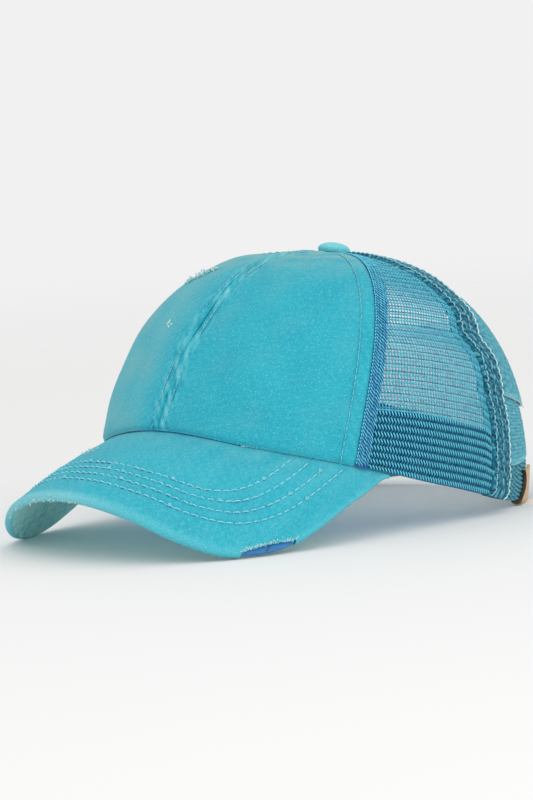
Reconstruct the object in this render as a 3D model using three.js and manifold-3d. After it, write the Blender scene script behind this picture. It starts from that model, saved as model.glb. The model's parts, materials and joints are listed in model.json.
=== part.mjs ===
// Ponytail baseball cap: two washed cotton front panels, net side panels, and an open back that two
// crossing elastic bands and a narrow elastic strap close.
// Millimetres, Z up. The cap is laid out level on the side edges of its crown, with the peak towards
// -Y and the wearer's left towards +X. The last step tips it onto the ground, where it stands by itself
// on the two low sides of the peak and the back edge of the crown.
// A place on the crown is an angle in degrees round it from the forehead, positive towards the wearer's
// left, and a climb from 0 at the lower edge to 1 at the top.

import * as THREE from 'three';
import { mergeVertices } from 'three/addons/utils/BufferGeometryUtils.js';
import Module from 'manifold-3d';

// Crown, measured on the outside of the cloth
const CROWN_WIDTH = 170;
const CROWN_LENGTH = 191;
const CROWN_HEIGHT = 99;
const TOP_FORWARD = 1.7;
const FRONT_ARCH = 12;
const REAR_ARCH = 12;
const BASE_SQUARENESS = 2.24;
const FRONT_FULLNESS = 2.5;
const FRONT_STEEPNESS = 1.6;
const SIDE_FULLNESS = 2.77;
const REAR_FULLNESS = 1.73;
const FRONT_LEAN = 0.03;

// The lower edge of the crown: its height above the side edges as shares of the two arches
const LOWER_EDGE = [
  { angle: 0, frontArch: 1, rearArch: 0 },
  { angle: 30, frontArch: 0.66, rearArch: 0 },
  { angle: 60, frontArch: 0.36, rearArch: 0 },
  { angle: 90, frontArch: 0, rearArch: 0 },
  { angle: 115, frontArch: 0, rearArch: -0.16 },
  { angle: 145, frontArch: 0, rearArch: 0.32 },
  { angle: 180, frontArch: 0, rearArch: 1 },
];

// Where the crown panels end, as angles round the crown
const SIDE_SEAM_ANGLE_LOW = 61.4;
const SIDE_SEAM_ANGLE_MIDDLE = 66.6;
const SIDE_SEAM_ANGLE_TOP = 69.1;
const OPENING_ANGLE_LOW = 112.6;
const OPENING_ANGLE_MIDDLE = 106.8;
const OPENING_ANGLE_TOP = 105.8;
const HEM_PULLS = [
  { climb: 0.4, angle: 4.2, below: 0.045, above: 0.065 },
  { climb: 0.205, angle: 1, below: 0.04, above: 0.04 },
];

// Cloth
const GAP = 0.3;
const FRONT_WALL = 1.6;
const NET_WALL = 1.2;
const SEAM_ALLOWANCE = 3.6;
const SEAM_RIDGE = 0.4;
const NET_FOLD_WIDTH = 5;
const NET_FOLD_RISE = 0.6;
const FOLD_STEP = 0.5;
const HEM_WIDTH = 14.5;
const HEM_WALL = 1.1;
const HEM_NOSE = 0.4;
const SWEATBAND_HEIGHT = 29;
const SWEATBAND_WALL = 1.5;

// Peak
const PEAK_LENGTH = 53;
const PEAK_WRAP = 97;
const PEAK_CORNER_RUN = 18.4;
const PEAK_SEAM_ANGLE = 71.4;
const PEAK_DROP = 39;
const PEAK_SQUARENESS = 2.22;
const PEAK_CAMBER = 2.6;
const PEAK_THICKNESS = 4;
const PEAK_TIP_THICKNESS = 1.2;
const PEAK_TIP_DROP = 1.5;
const PEAK_RIM_RISE = 0.3;
const COVER_WALL = 1;

// The rim of the peak: its depth below the side edges as a share of the drop, by the angle round the rim
const RIM_EDGE = [
  { angle: 0, drop: 0.555 },
  { angle: 25, drop: 0.705 },
  { angle: 40, drop: 0.895 },
  { angle: 55, drop: 1 },
  { angle: 70, drop: 0.88 },
  { angle: 90, drop: 0.25 },
];

// Places along the peak, as shares of the way from its middle to a corner
const TAPER_START = 0.8;
const BOARD_END = 0.93;
const SLOT_START = 0.59;
const SLOT_END = 0.76;
const SLOT_DEPTH = 2.6;

// Elastics and the leather tab
const BAND_WIDTH = 48;
const BAND_WALL = 1.2;
const BAND_HIGH_CLIMB = 0.42;
const BAND_LOW_CLIMB = 0.245;
const BAND_LOW_EASE = 1.6;
const BAND_HIGH_EASE = 1.15;
const BAND_STAND_OUT = 0.6;
const BAND_CUP = 1.4;
const BAND_RISE = 0.05;
const TUCK = 10;
const HEM_CLEAR = 0.6;
const HALF_RAISED = 2.5;
const FULLY_RAISED = 5;
const STRAP_WIDTH = 15.5;
const STRAP_WALL = 1.3;
const STRAP_HEIGHT = 0;
const STRAP_SINK = 0.6;
const TAB_ANGLE = 131;
const TAB_WIDTH = 22;
const LEATHER_WALL = 1.4;

// Button
const BUTTON_DIAMETER = 14.2;
const BUTTON_HEIGHT = 4.6;
const BUTTON_EDGE = 1.5;
const TOP_HOLE_RADIUS = 4;

// Facets
const PANEL_COLUMNS = 11;
const PANEL_ROWS = 16;
const SWEATBAND_STATIONS = 40;
const PEAK_STATIONS = 36;
const PEAK_COLUMNS = 5;
const RIM_FACETS = 4;
const BAND_STATIONS = 22;
const BAND_COLUMNS = 4;
const TAB_STATIONS = 6;
const SLOT_STATIONS = 8;
const BUTTON_SIDES = 28;

const DEGREE = Math.PI / 180;
const FULL_TURN = 360;
const wasm = await Module();
wasm.setup();

const MATERIALS = {
  frontCloth: new THREE.MeshStandardMaterial({ name: 'washed_cotton', color: '#46b8cb', roughness: 0.95 }),
  peakCloth: new THREE.MeshStandardMaterial({ name: 'peak_cotton', color: '#3fb6c8', roughness: 0.95 }),
  net: new THREE.MeshStandardMaterial({ name: 'net', color: '#4c9bae', roughness: 0.7 }),
  hemTape: new THREE.MeshStandardMaterial({ name: 'hem_tape', color: '#2f7f9b', roughness: 0.9 }),
  sweatband: new THREE.MeshStandardMaterial({ name: 'sweatband_cotton', color: '#155f9f', roughness: 0.95 }),
  board: new THREE.MeshStandardMaterial({ name: 'peak_board', color: '#1e78b8', roughness: 0.6 }),
  elastic: new THREE.MeshStandardMaterial({ name: 'ribbed_elastic', color: '#57a9bb', roughness: 0.9 }),
  strapElastic: new THREE.MeshStandardMaterial({ name: 'strap_elastic', color: '#2f8ba0', roughness: 0.9 }),
  leather: new THREE.MeshStandardMaterial({ name: 'leather', color: '#c5aa9a', roughness: 0.65 }),
};

// A smooth curve through the rows of a table, level at its first and last row
function curveThrough(rows) {
  const slopes = rows.map((row, i) => {
    if (i === 0 || i === rows.length - 1) return 0;
    const before = rows[i - 1];
    const after = rows[i + 1];
    const run = after.at - before.at;
    const left = (row.value - before.value) / (row.at - before.at);
    const right = (after.value - row.value) / (after.at - row.at);
    return (left * (after.at - row.at) + right * (row.at - before.at)) / run;
  });
  return (at) => {
    let i = 0;
    while (i < rows.length - 2 && at > rows[i + 1].at) i += 1;
    const run = rows[i + 1].at - rows[i].at;
    const t = THREE.MathUtils.clamp((at - rows[i].at) / run, 0, 1);
    const ease = t * t * (3 - 2 * t);
    const rise = rows[i].value * (1 - ease) + rows[i + 1].value * ease;
    return rise + run * (t * (1 - t) * (1 - t) * slopes[i] - t * t * (1 - t) * slopes[i + 1]);
  };
}

// A power that keeps the sign of what it raises
function signedPower(value, exponent) {
  return Math.sign(value) * Math.abs(value) ** exponent;
}

const lowerEdgeHeight = curveThrough(
  LOWER_EDGE.map((row) => ({
    at: row.angle,
    value: row.frontArch * FRONT_ARCH + row.rearArch * REAR_ARCH,
  })),
);

// The outer lower edge of the crown
function edgePoint(angle) {
  const exponent = 2 / BASE_SQUARENESS;
  const turned = Math.acos(Math.cos(angle * DEGREE)) / DEGREE;
  return new THREE.Vector3(
    (CROWN_WIDTH / 2) * signedPower(Math.sin(angle * DEGREE), exponent),
    (-CROWN_LENGTH / 2) * signedPower(Math.cos(angle * DEGREE), exponent),
    lowerEdgeHeight(turned),
  );
}

// How full the crown stands at an angle: a blend of its front, side and rear outlines
function fullness(angle, front) {
  const facing = Math.cos(angle * DEGREE);
  const frontShare = Math.max(facing, 0) ** 2;
  const rearShare = Math.max(-facing, 0) ** 2;
  const sideShare = 1 - frontShare - rearShare;
  return front * frontShare + SIDE_FULLNESS * sideShare + REAR_FULLNESS * rearShare;
}

// The outer surface of the crown
function crownPoint(angle, climb) {
  const edge = edgePoint(angle);
  const quarter = (climb * Math.PI) / 2;
  const spread = Math.max(Math.cos(quarter), 0) ** (2 / fullness(angle, FRONT_FULLNESS));
  const rise = Math.sin(quarter) ** (2 / fullness(angle, FRONT_STEEPNESS));
  const frontShare = Math.max(Math.cos(angle * DEGREE), 0) ** 2;
  const lean = 1 - FRONT_LEAN * frontShare * Math.sin(climb * Math.PI);
  return new THREE.Vector3(
    edge.x * spread * lean,
    -TOP_FORWARD + (edge.y + TOP_FORWARD) * spread * lean,
    edge.z + (CROWN_HEIGHT - edge.z) * rise,
  );
}

// The climb at which the crown stands a given height above its lower edge
function climbAtHeight(angle, height) {
  const share = Math.max(height, 0) / (CROWN_HEIGHT - edgePoint(angle).z);
  return (2 / Math.PI) * Math.asin(share ** (fullness(angle, FRONT_STEEPNESS) / 2));
}

function crownNormal(angle, climb) {
  const step = 0.01;
  const low = Math.min(Math.max(climb - step, 0), 1 - 2 * step);
  const high = Math.min(Math.max(climb + step, 2 * step), 1);
  const round = crownPoint(angle + 1, climb).sub(crownPoint(angle - 1, climb));
  const up = crownPoint(angle, high).sub(crownPoint(angle, low));
  return round.cross(up).normalize();
}

// A point a given distance outside the crown surface, or inside it if the lift is negative
function onCrown(angle, climb, lift) {
  return crownPoint(angle, climb).addScaledVector(crownNormal(angle, climb), lift);
}

// The same by height above the lower edge, which may be a little below it
function onWall(angle, height, lift) {
  const point = onCrown(angle, climbAtHeight(angle, height), lift);
  point.z += Math.min(height, 0);
  return point;
}

// The turn round the crown that covers a distance on its surface
function degreesFor(distance, angle, climb) {
  const perDegree = crownPoint(angle + 0.5, climb).distanceTo(crownPoint(angle - 0.5, climb));
  return distance / perDegree;
}

// A line up the crown through its angles at the lower edge, half way up and at the top
function lineThrough(lowAngle, middleAngle, topAngle) {
  return (climb) => {
    const low = lowAngle * (1 - climb) * (1 - 2 * climb);
    const middle = middleAngle * 4 * climb * (1 - climb);
    const top = topAngle * climb * (2 * climb - 1);
    return low + middle + top;
  };
}

const sideSeamAngle = lineThrough(SIDE_SEAM_ANGLE_LOW, SIDE_SEAM_ANGLE_MIDDLE, SIDE_SEAM_ANGLE_TOP);

// The outer edge of the hem that borders the back opening, drawn forward where the elastics pull it
const openingLine = lineThrough(OPENING_ANGLE_LOW, OPENING_ANGLE_MIDDLE, OPENING_ANGLE_TOP);

function openingAngle(climb) {
  const drawn = HEM_PULLS.map((pull) => {
    const spread = climb < pull.climb ? pull.below : pull.above;
    return pull.angle * Math.exp(-(((climb - pull.climb) / spread) ** 2));
  });
  return openingLine(climb) - drawn[0] - drawn[1];
}

// The climb at which the side of the crown comes within a radius of its top
function climbAtRadius(radius) {
  return (2 / Math.PI) * Math.acos((radius / (CROWN_WIDTH / 2)) ** (SIDE_FULLNESS / 2));
}

// The panels end under the button and the hems just outside it
const TOP_CLIMB = climbAtRadius(TOP_HOLE_RADIUS);
const HEM_TOP_CLIMB = climbAtRadius(BUTTON_DIAMETER / 2 + 3 * GAP);

// Six times the enclosed volume, which is negative where the faces point inwards
function signedVolume(positions, index) {
  const corners = [new THREE.Vector3(), new THREE.Vector3(), new THREE.Vector3()];
  let volume = 0;
  for (let i = 0; i < index.length; i += 3) {
    corners.forEach((corner, k) => corner.fromArray(positions, index[i + k] * 3));
    volume += corners[0].dot(corners[1].cross(corners[2]));
  }
  return volume;
}

// A closed body through a row of rings. A ring runs along one side of the section and back on the other
function loft(rings) {
  const count = rings[0].length;
  const last = (rings.length - 1) * count;
  const positions = rings.flat().flatMap((point) => point.toArray());
  const index = [];
  const quad = (a, b, c, d) => index.push(a, b, c, a, c, d);
  for (let ring = 0; ring < rings.length - 1; ring += 1) {
    for (let i = 0; i < count; i += 1) {
      const a = ring * count + i;
      const b = ring * count + ((i + 1) % count);
      quad(a, b, b + count, a + count);
    }
  }
  for (let i = 0; i < count / 2 - 1; i += 1) {
    const back = count - 1 - i;
    quad(back, back - 1, i + 1, i);
    quad(last + i, last + i + 1, last + back - 1, last + back);
  }
  if (signedVolume(positions, index) < 0) index.reverse();
  const geometry = new THREE.BufferGeometry();
  geometry.setAttribute('position', new THREE.Float32BufferAttribute(positions, 3));
  geometry.setIndex(index);
  return geometry;
}

// Evenly spaced shares from 0 to 1, both included
function shares(count) {
  return Array.from({ length: count + 1 }, (_, i) => i / count);
}

// A ring with one face through the first points and the other face through the second
function ringOf(outer, inner) {
  return [...outer, ...inner.reverse()];
}

function piece(name, geometry, material) {
  const mesh = new THREE.Mesh(geometry, material);
  mesh.name = name;
  return mesh;
}

// Columns across a panel whose first edge is a fold: the fold's width, its step and even columns
function foldedColumns(width, foldWidth) {
  const start = (foldWidth + FOLD_STEP) / width;
  const even = shares(PANEL_COLUMNS).map((share) => start + (1 - start) * share);
  return [0, foldWidth / width, ...even];
}

// A crown panel between two edges, thicker on a fold along its first edge
function crownPanel({ from, to, side, wall, foldWidth, foldRise }) {
  const rings = shares(PANEL_ROWS).map((share) => {
    const climb = share * TOP_CLIMB;
    const start = from(climb);
    const end = to(climb);
    const width = (end - start) / degreesFor(1, (start + end) / 2, climb);
    const fold = Math.min(foldWidth, width / 4);
    const columns = foldedColumns(width, fold);
    const angles = columns.map((column) => side * (start + (end - start) * column));
    const outer = angles.map((angle, i) => onCrown(angle, climb, i < 2 ? foldRise : 0));
    const inner = angles.map((angle) => onCrown(angle, climb, -wall));
    return ringOf(outer, inner);
  });
  return loft(rings);
}

function frontPanel(side) {
  return crownPanel({
    from: (climb) => degreesFor(GAP / 2, 0, climb),
    to: (climb) => sideSeamAngle(climb) - degreesFor(GAP / 2, sideSeamAngle(climb), climb),
    side,
    wall: FRONT_WALL,
    foldWidth: SEAM_ALLOWANCE,
    foldRise: SEAM_RIDGE,
  });
}

function netPanel(side) {
  const clearance = HEM_WALL + 2 * GAP;
  return crownPanel({
    from: (climb) => sideSeamAngle(climb) + degreesFor(GAP / 2, sideSeamAngle(climb), climb),
    to: (climb) => openingAngle(climb) - degreesFor(clearance, openingAngle(climb), climb),
    side,
    wall: NET_WALL,
    foldWidth: NET_FOLD_WIDTH,
    foldRise: NET_FOLD_RISE,
  });
}

// The hem tape folds round the edge of the net: distance back from the opening, and lift
function hemSection(width) {
  const over = GAP + HEM_WALL;
  const under = -NET_WALL - GAP - HEM_WALL;
  const outer = [
    { back: width, lift: over },
    { back: width / 2, lift: over },
    { back: HEM_NOSE, lift: over },
    { back: 0, lift: over - HEM_NOSE },
    { back: 0, lift: under + HEM_NOSE },
    { back: HEM_NOSE, lift: under },
    { back: width / 2, lift: under },
    { back: width, lift: under },
  ];
  const inner = [
    { back: width, lift: GAP },
    { back: width / 2, lift: GAP },
    { back: HEM_WALL + GAP / 2, lift: GAP },
    { back: HEM_WALL, lift: GAP / 2 },
    { back: HEM_WALL, lift: -NET_WALL - GAP / 2 },
    { back: HEM_WALL + GAP / 2, lift: -NET_WALL - GAP },
    { back: width / 2, lift: -NET_WALL - GAP },
    { back: width, lift: -NET_WALL - GAP },
  ];
  return { outer, inner };
}

function backHem(side) {
  const rings = shares(PANEL_ROWS).map((share) => {
    const climb = share * HEM_TOP_CLIMB;
    const edge = openingAngle(climb);
    const netWidth = (edge - sideSeamAngle(climb)) / degreesFor(1, edge, climb);
    const section = hemSection(Math.min(HEM_WIDTH, netWidth / 2));
    const place = ({ back, lift }) => onCrown(side * (edge - degreesFor(back, edge, climb)), climb, lift);
    return ringOf(section.outer.map(place), section.inner.map(place));
  });
  return loft(rings);
}

// The sweatband lies inside the panels from one hem to the other
function sweatband() {
  const outerLift = -(FRONT_WALL + GAP);
  const innerLift = outerLift - SWEATBAND_WALL;
  const heights = [0, 0.15, 0.4, 0.7, 1].map((share) => share * SWEATBAND_HEIGHT);
  const rings = shares(SWEATBAND_STATIONS).map((share) => {
    const turn = 2 * share - 1;
    const place = (lift) => (height) => {
      const climb = climbAtHeight(OPENING_ANGLE_LOW, height);
      const edge = openingAngle(climb);
      const end = edge - degreesFor(HEM_WIDTH + 2 * GAP, edge, climb);
      return onWall(turn * end, height, lift);
    };
    return ringOf(heights.map(place(outerLift)), heights.map(place(innerLift)));
  });
  return loft(rings);
}

// The peak's rim, from -1 at the wearer's right corner to 1 at the left corner
const corner = edgePoint(PEAK_SEAM_ANGLE);
const rimHalfWidth = corner.x / Math.sin(PEAK_WRAP * DEGREE);
const rimWidestY = corner.y - PEAK_CORNER_RUN;
const rimReach = rimWidestY + CROWN_LENGTH / 2 + PEAK_LENGTH;
const rimHeight = curveThrough([
  ...RIM_EDGE.map((row) => ({ at: row.angle, value: -row.drop * PEAK_DROP })),
  { at: PEAK_WRAP, value: corner.z - PEAK_TIP_DROP },
]);

function rimPoint(along) {
  const angle = Math.abs(along) * PEAK_WRAP;
  const ahead = Math.cos(angle * DEGREE);
  const exponent = ahead > 0 ? 2 / PEAK_SQUARENESS : 1;
  const cornerShare = ahead / Math.cos(PEAK_WRAP * DEGREE);
  return new THREE.Vector3(
    Math.sign(along) * rimHalfWidth * Math.abs(Math.sin(angle * DEGREE)) ** exponent,
    ahead > 0 ? rimWidestY - rimReach * ahead ** exponent : rimWidestY + PEAK_CORNER_RUN * cornerShare,
    rimHeight(angle),
  );
}

// The top edge of the peak where it is sewn under the crown
function peakSeamPoint(along) {
  const point = onCrown(along * PEAK_SEAM_ANGLE, 0, -FRONT_WALL);
  point.z -= GAP;
  return point;
}

function peakThickness(along) {
  const taper = Math.max((Math.abs(along) - TAPER_START) / (1 - TAPER_START), 0);
  return THREE.MathUtils.lerp(PEAK_THICKNESS, PEAK_TIP_THICKNESS, taper ** 3);
}

// The top face of the peak, from 0 at the crown to 1 where its rim starts to turn under
function peakSurface(across, along) {
  const seam = peakSeamPoint(along);
  const rim = rimPoint(along);
  const outward = rim.clone().sub(seam).normalize();
  rim.addScaledVector(outward, -peakThickness(along) / 2);
  const point = seam.lerp(rim, across);
  point.z += PEAK_CAMBER * Math.sin(Math.PI * across) * (1 - along ** 4);
  return { point, outward };
}

function peakNormal(across, along) {
  const step = 0.01;
  const out = peakSurface(across + step, along).point.sub(peakSurface(across - step, along).point);
  const low = Math.max(along - step, -1);
  const high = Math.min(along + step, 1);
  const round = peakSurface(across, high).point.sub(peakSurface(across, low).point);
  return out.cross(round).normalize();
}

// A point on the peak, which rises a share of its thickness above the rim line on its way out
function onPeak(across, along, depth) {
  const { point } = peakSurface(across, along);
  const lift = across * peakThickness(along) * PEAK_RIM_RISE;
  return point.addScaledVector(peakNormal(across, along), lift - depth);
}

// The section of a layer of the peak between two depths, with its rim rounded
function peakRing(along, topDepth, bottomDepth, start) {
  const columns = shares(PEAK_COLUMNS).map((share) => start + (1 - start) * share);
  const top = columns.map((across) => onPeak(across, along, topDepth));
  const bottom = columns.map((across) => onPeak(across, along, bottomDepth));
  const { outward } = peakSurface(1, along);
  const centre = top.at(-1).clone().lerp(bottom.at(-1), 0.5);
  const radius = top.at(-1).distanceTo(centre);
  const up = top.at(-1).clone().sub(centre).normalize();
  const turns = shares(RIM_FACETS).slice(1, -1);
  const rim = turns.map((turn) => centre.clone()
    .addScaledVector(up, radius * Math.cos(turn * Math.PI))
    .addScaledVector(outward, radius * Math.sin(turn * Math.PI)));
  const half = Math.floor(rim.length / 2);
  const middle = rim[half];
  const above = [...top, ...rim.slice(0, half), middle.clone().lerp(rim[half - 1], 0.1)];
  const below = [...bottom, ...rim.slice(half + 1).reverse(), middle.clone().lerp(rim[half + 1], 0.1)];
  return ringOf(above, below);
}

function peakLayer(end, topWall, start) {
  return loft(shares(PEAK_STATIONS).map((share) => {
    const along = (2 * share - 1) * end;
    return peakRing(along, topWall, peakThickness(along) - topWall, start);
  }));
}

// The worn slot: a lens cut round the rim, through the cover only
function slotCutter() {
  return loft(shares(SLOT_STATIONS).map((share) => {
    const along = THREE.MathUtils.lerp(SLOT_START, SLOT_END, share);
    const width = rimPoint(along).distanceTo(peakSeamPoint(along));
    const outside = PEAK_THICKNESS / width;
    const bite = Math.sin(share * Math.PI);
    const inner = 1 + outside * (1 - bite) - (SLOT_DEPTH / width) * bite;
    const columns = [inner, inner + outside, inner + 2 * outside];
    const above = columns.map((across) => onPeak(across, along, -PEAK_THICKNESS));
    const below = columns.map((across) => onPeak(across, along, 2 * PEAK_THICKNESS));
    return ringOf(above, below);
  }));
}

function toSolid(geometry) {
  const { position } = geometry.attributes;
  const mesh = new wasm.Mesh({
    numProp: 3,
    vertProperties: new Float32Array(position.array),
    triVerts: new Uint32Array(geometry.index.array),
  });
  return new wasm.Manifold(mesh);
}

function fromSolid(solid) {
  const mesh = solid.getMesh();
  const geometry = new THREE.BufferGeometry();
  geometry.setAttribute('position', new THREE.BufferAttribute(new Float32Array(mesh.vertProperties), 3));
  geometry.setIndex(new THREE.BufferAttribute(new Uint32Array(mesh.triVerts), 1));
  return geometry;
}

// The cover is a full peak hollowed out for the board, open towards the crown
function peakCover() {
  const full = toSolid(peakLayer(1, 0, 0));
  const pocket = toSolid(peakLayer(BOARD_END + 0.01, COVER_WALL, -0.1));
  return fromSolid(full.subtract(pocket).subtract(toSolid(slotCutter())));
}

function peakBoard() {
  return peakLayer(BOARD_END, COVER_WALL + GAP, 0.02);
}

// Stations across the back opening, from under one hem to under the other, with how far each is raised
function acrossTheBack(leftEdge, rightEdge, leftClimb, rightClimb) {
  const nearHem = [
    { out: -TUCK, raised: 0 },
    { out: HEM_CLEAR, raised: 0 },
    { out: HALF_RAISED, raised: 0.6 },
  ];
  const left = leftEdge + degreesFor(FULLY_RAISED, leftEdge, leftClimb);
  const right = FULL_TURN - rightEdge - degreesFor(FULLY_RAISED, rightEdge, rightClimb);
  const leftEnd = nearHem.map(({ out, raised }) => (
    { angle: leftEdge + degreesFor(out, leftEdge, leftClimb), raised }));
  const rightEnd = nearHem.map(({ out, raised }) => (
    { angle: FULL_TURN - rightEdge - degreesFor(out, rightEdge, rightClimb), raised }));
  const open = shares(BAND_STATIONS).map((share) => (
    { angle: THREE.MathUtils.lerp(left, right, share), raised: 1 }));
  return [...leftEnd, ...open, ...rightEnd.reverse()];
}

const TUCKED_LIFT = -(NET_WALL + 2 * GAP + HEM_WALL);

// The change of climb that covers half the band's width at right angles to its run
function halfWidthClimb(angle, climb, slope) {
  const step = 0.01;
  const run = crownPoint(angle + 1, climb + slope).sub(crownPoint(angle - 1, climb - slope)).normalize();
  const up = crownPoint(angle, climb + step).sub(crownPoint(angle, climb - step)).divideScalar(2 * step);
  const sideways = up.clone().addScaledVector(run, -up.dot(run));
  return BAND_WIDTH / 2 / sideways.length();
}

// The climb of a band's middle: it leaves its high end at a slope, crosses the back of the head a little
// higher and arrives level at its low end
function bandMiddle(across, leftClimb, rightClimb) {
  const share = leftClimb > rightClimb ? 1 - across : across;
  const fromLow = THREE.MathUtils.clamp(share, 0, 1);
  const lowHalf = 0.5 * (2 * fromLow) ** BAND_LOW_EASE;
  const highHalf = 1 - 0.5 * (2 - 2 * fromLow) ** BAND_HIGH_EASE;
  const low = Math.min(leftClimb, rightClimb);
  const rise = BAND_RISE * (4 * fromLow * (1 - fromLow)) ** 2;
  return low + Math.abs(leftClimb - rightClimb) * (fromLow < 0.5 ? lowHalf : highHalf) + rise;
}

// One of the lines along a band, from -1 at its lower edge to 1 at its upper edge. The part of the
// inner band that the outer band leaves free at each hem cups outwards
function bandLine(line, { leftClimb, rightClimb, layer, cup }) {
  const step = 0.01;
  const climbOf = (across, angle, span) => {
    const middle = bandMiddle(across, leftClimb, rightClimb);
    const ahead = bandMiddle(across + step, leftClimb, rightClimb);
    const slope = (ahead - middle) / (step * span);
    return middle + line * halfWidthClimb(angle, middle, slope);
  };
  const wide = FULL_TURN - openingAngle(leftClimb) - openingAngle(rightClimb);
  const leftStart = climbOf(0, openingAngle(leftClimb), wide);
  const rightStart = climbOf(1, FULL_TURN - openingAngle(rightClimb), wide);
  const leftHem = openingAngle(leftStart);
  const rightHem = openingAngle(rightStart);
  const span = FULL_TURN - rightHem - leftHem;
  return acrossTheBack(leftHem, rightHem, leftStart, rightStart).map(({ angle, raised }) => {
    const across = (angle - leftHem) / span;
    const fromLow = leftClimb > rightClimb ? 1 - across : across;
    const cupped = cup * line * Math.cos(fromLow * Math.PI) ** 3;
    const raisedLift = THREE.MathUtils.lerp(TUCKED_LIFT, BAND_STAND_OUT - cupped, raised);
    return { angle, climb: climbOf(across, angle, span), lift: raisedLift - layer * (BAND_WALL + 2 * GAP) };
  });
}

// A wide elastic from high on one hem to low on the other
function elasticBand(band) {
  const lines = shares(BAND_COLUMNS).map((share) => bandLine(2 * share - 1, band));
  return loft(lines[0].map((_, station) => {
    const places = lines.map((line) => line[station]);
    const outer = places.map(({ angle, climb, lift }) => onCrown(angle, climb, lift));
    const inner = places.map(({ angle, climb, lift }) => onCrown(angle, climb, lift - BAND_WALL));
    return ringOf(outer, inner);
  }));
}

function backStrap() {
  const heights = [0, 0.5, 1].map((share) => STRAP_HEIGHT + share * STRAP_WIDTH);
  const edge = openingAngle(0);
  const rings = acrossTheBack(edge, edge, 0, 0).map(({ angle, raised }) => {
    const lift = THREE.MathUtils.lerp(TUCKED_LIFT, -STRAP_SINK, raised);
    const outer = heights.map((height) => onWall(angle, height, lift));
    const inner = heights.map((height) => onWall(angle, height, lift - STRAP_WALL));
    return ringOf(outer, inner);
  });
  return loft(rings);
}

// The leather goes down the outside of the strap, round its lower edge and up the inside
function leatherTab() {
  const over = -STRAP_SINK + GAP;
  const under = -STRAP_SINK - STRAP_WALL - GAP;
  const top = STRAP_HEIGHT + STRAP_WIDTH;
  const bottom = STRAP_HEIGHT - GAP;
  const bend = LEATHER_WALL * 0.5;
  const outer = [
    { height: top, lift: over + LEATHER_WALL },
    { height: top / 2, lift: over + LEATHER_WALL },
    { height: bottom - LEATHER_WALL + bend, lift: over + LEATHER_WALL },
    { height: bottom - LEATHER_WALL, lift: over + LEATHER_WALL - bend },
    { height: bottom - LEATHER_WALL, lift: under - LEATHER_WALL + bend },
    { height: bottom - LEATHER_WALL + bend, lift: under - LEATHER_WALL },
    { height: top / 2, lift: under - LEATHER_WALL },
    { height: top, lift: under - LEATHER_WALL },
  ];
  const inner = [
    { height: top, lift: over },
    { height: top / 2, lift: over },
    { height: bottom + GAP / 2, lift: over },
    { height: bottom, lift: over - GAP / 2 },
    { height: bottom, lift: under + GAP / 2 },
    { height: bottom + GAP / 2, lift: under },
    { height: top / 2, lift: under },
    { height: top, lift: under },
  ];
  const halfTurn = degreesFor(TAB_WIDTH / 2, TAB_ANGLE, 0);
  return loft(shares(TAB_STATIONS).map((share) => {
    const angle = TAB_ANGLE + (2 * share - 1) * halfTurn;
    const place = ({ height, lift }) => onWall(angle, height, lift);
    return ringOf(outer.map(place), inner.map(place));
  }));
}

// A domed button with a flat underside, turned about the top of the crown
function crownButton() {
  const radius = BUTTON_DIAMETER / 2;
  const dome = BUTTON_HEIGHT - BUTTON_EDGE;
  const rise = shares(5).map((share) => {
    const turn = (share * Math.PI) / 2;
    return new THREE.Vector2(radius * Math.cos(turn), BUTTON_EDGE + dome * Math.sin(turn));
  });
  rise.at(-1).x = 0;
  const profile = [new THREE.Vector2(0, 0), new THREE.Vector2(radius - BUTTON_EDGE / 2, 0), ...rise];
  const turned = new THREE.LatheGeometry(profile, BUTTON_SIDES);
  turned.deleteAttribute('normal');
  turned.deleteAttribute('uv');
  turned.rotateX(90 * DEGREE);
  turned.translate(0, -TOP_FORWARD, CROWN_HEIGHT + Math.max(SEAM_RIDGE, NET_FOLD_RISE) + GAP);
  const merged = mergeVertices(turned);
  const faces = [];
  for (let i = 0; i < merged.index.count; i += 3) {
    const face = [0, 1, 2].map((k) => merged.index.getX(i + k));
    if (new Set(face).size === 3) faces.push(...face);
  }
  if (signedVolume(merged.attributes.position.array, faces) < 0) faces.reverse();
  merged.setIndex(faces);
  return merged;
}

function buildCap() {
  const cap = new THREE.Group();
  cap.add(piece('front_panel_left', frontPanel(1), MATERIALS.frontCloth));
  cap.add(piece('front_panel_right', frontPanel(-1), MATERIALS.frontCloth));
  cap.add(piece('net_panel_left', netPanel(1), MATERIALS.net));
  cap.add(piece('net_panel_right', netPanel(-1), MATERIALS.net));
  cap.add(piece('back_hem_left', backHem(1), MATERIALS.hemTape));
  cap.add(piece('back_hem_right', backHem(-1), MATERIALS.hemTape));
  cap.add(piece('sweatband', sweatband(), MATERIALS.sweatband));
  cap.add(piece('peak_board', peakBoard(), MATERIALS.board));
  cap.add(piece('peak_cover', peakCover(), MATERIALS.peakCloth));
  const high = BAND_HIGH_CLIMB;
  const low = BAND_LOW_CLIMB;
  const over = elasticBand({ leftClimb: high, rightClimb: low, layer: 0, cup: 0 });
  const under = elasticBand({ leftClimb: low, rightClimb: high, layer: 1, cup: BAND_CUP });
  cap.add(piece('elastic_band_over', over, MATERIALS.elastic));
  cap.add(piece('elastic_band_under', under, MATERIALS.elastic));
  cap.add(piece('back_strap', backStrap(), MATERIALS.strapElastic));
  cap.add(piece('leather_tab', leatherTab(), MATERIALS.leather));
  cap.add(piece('crown_button', crownButton(), MATERIALS.frontCloth));
  return cap;
}

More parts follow.
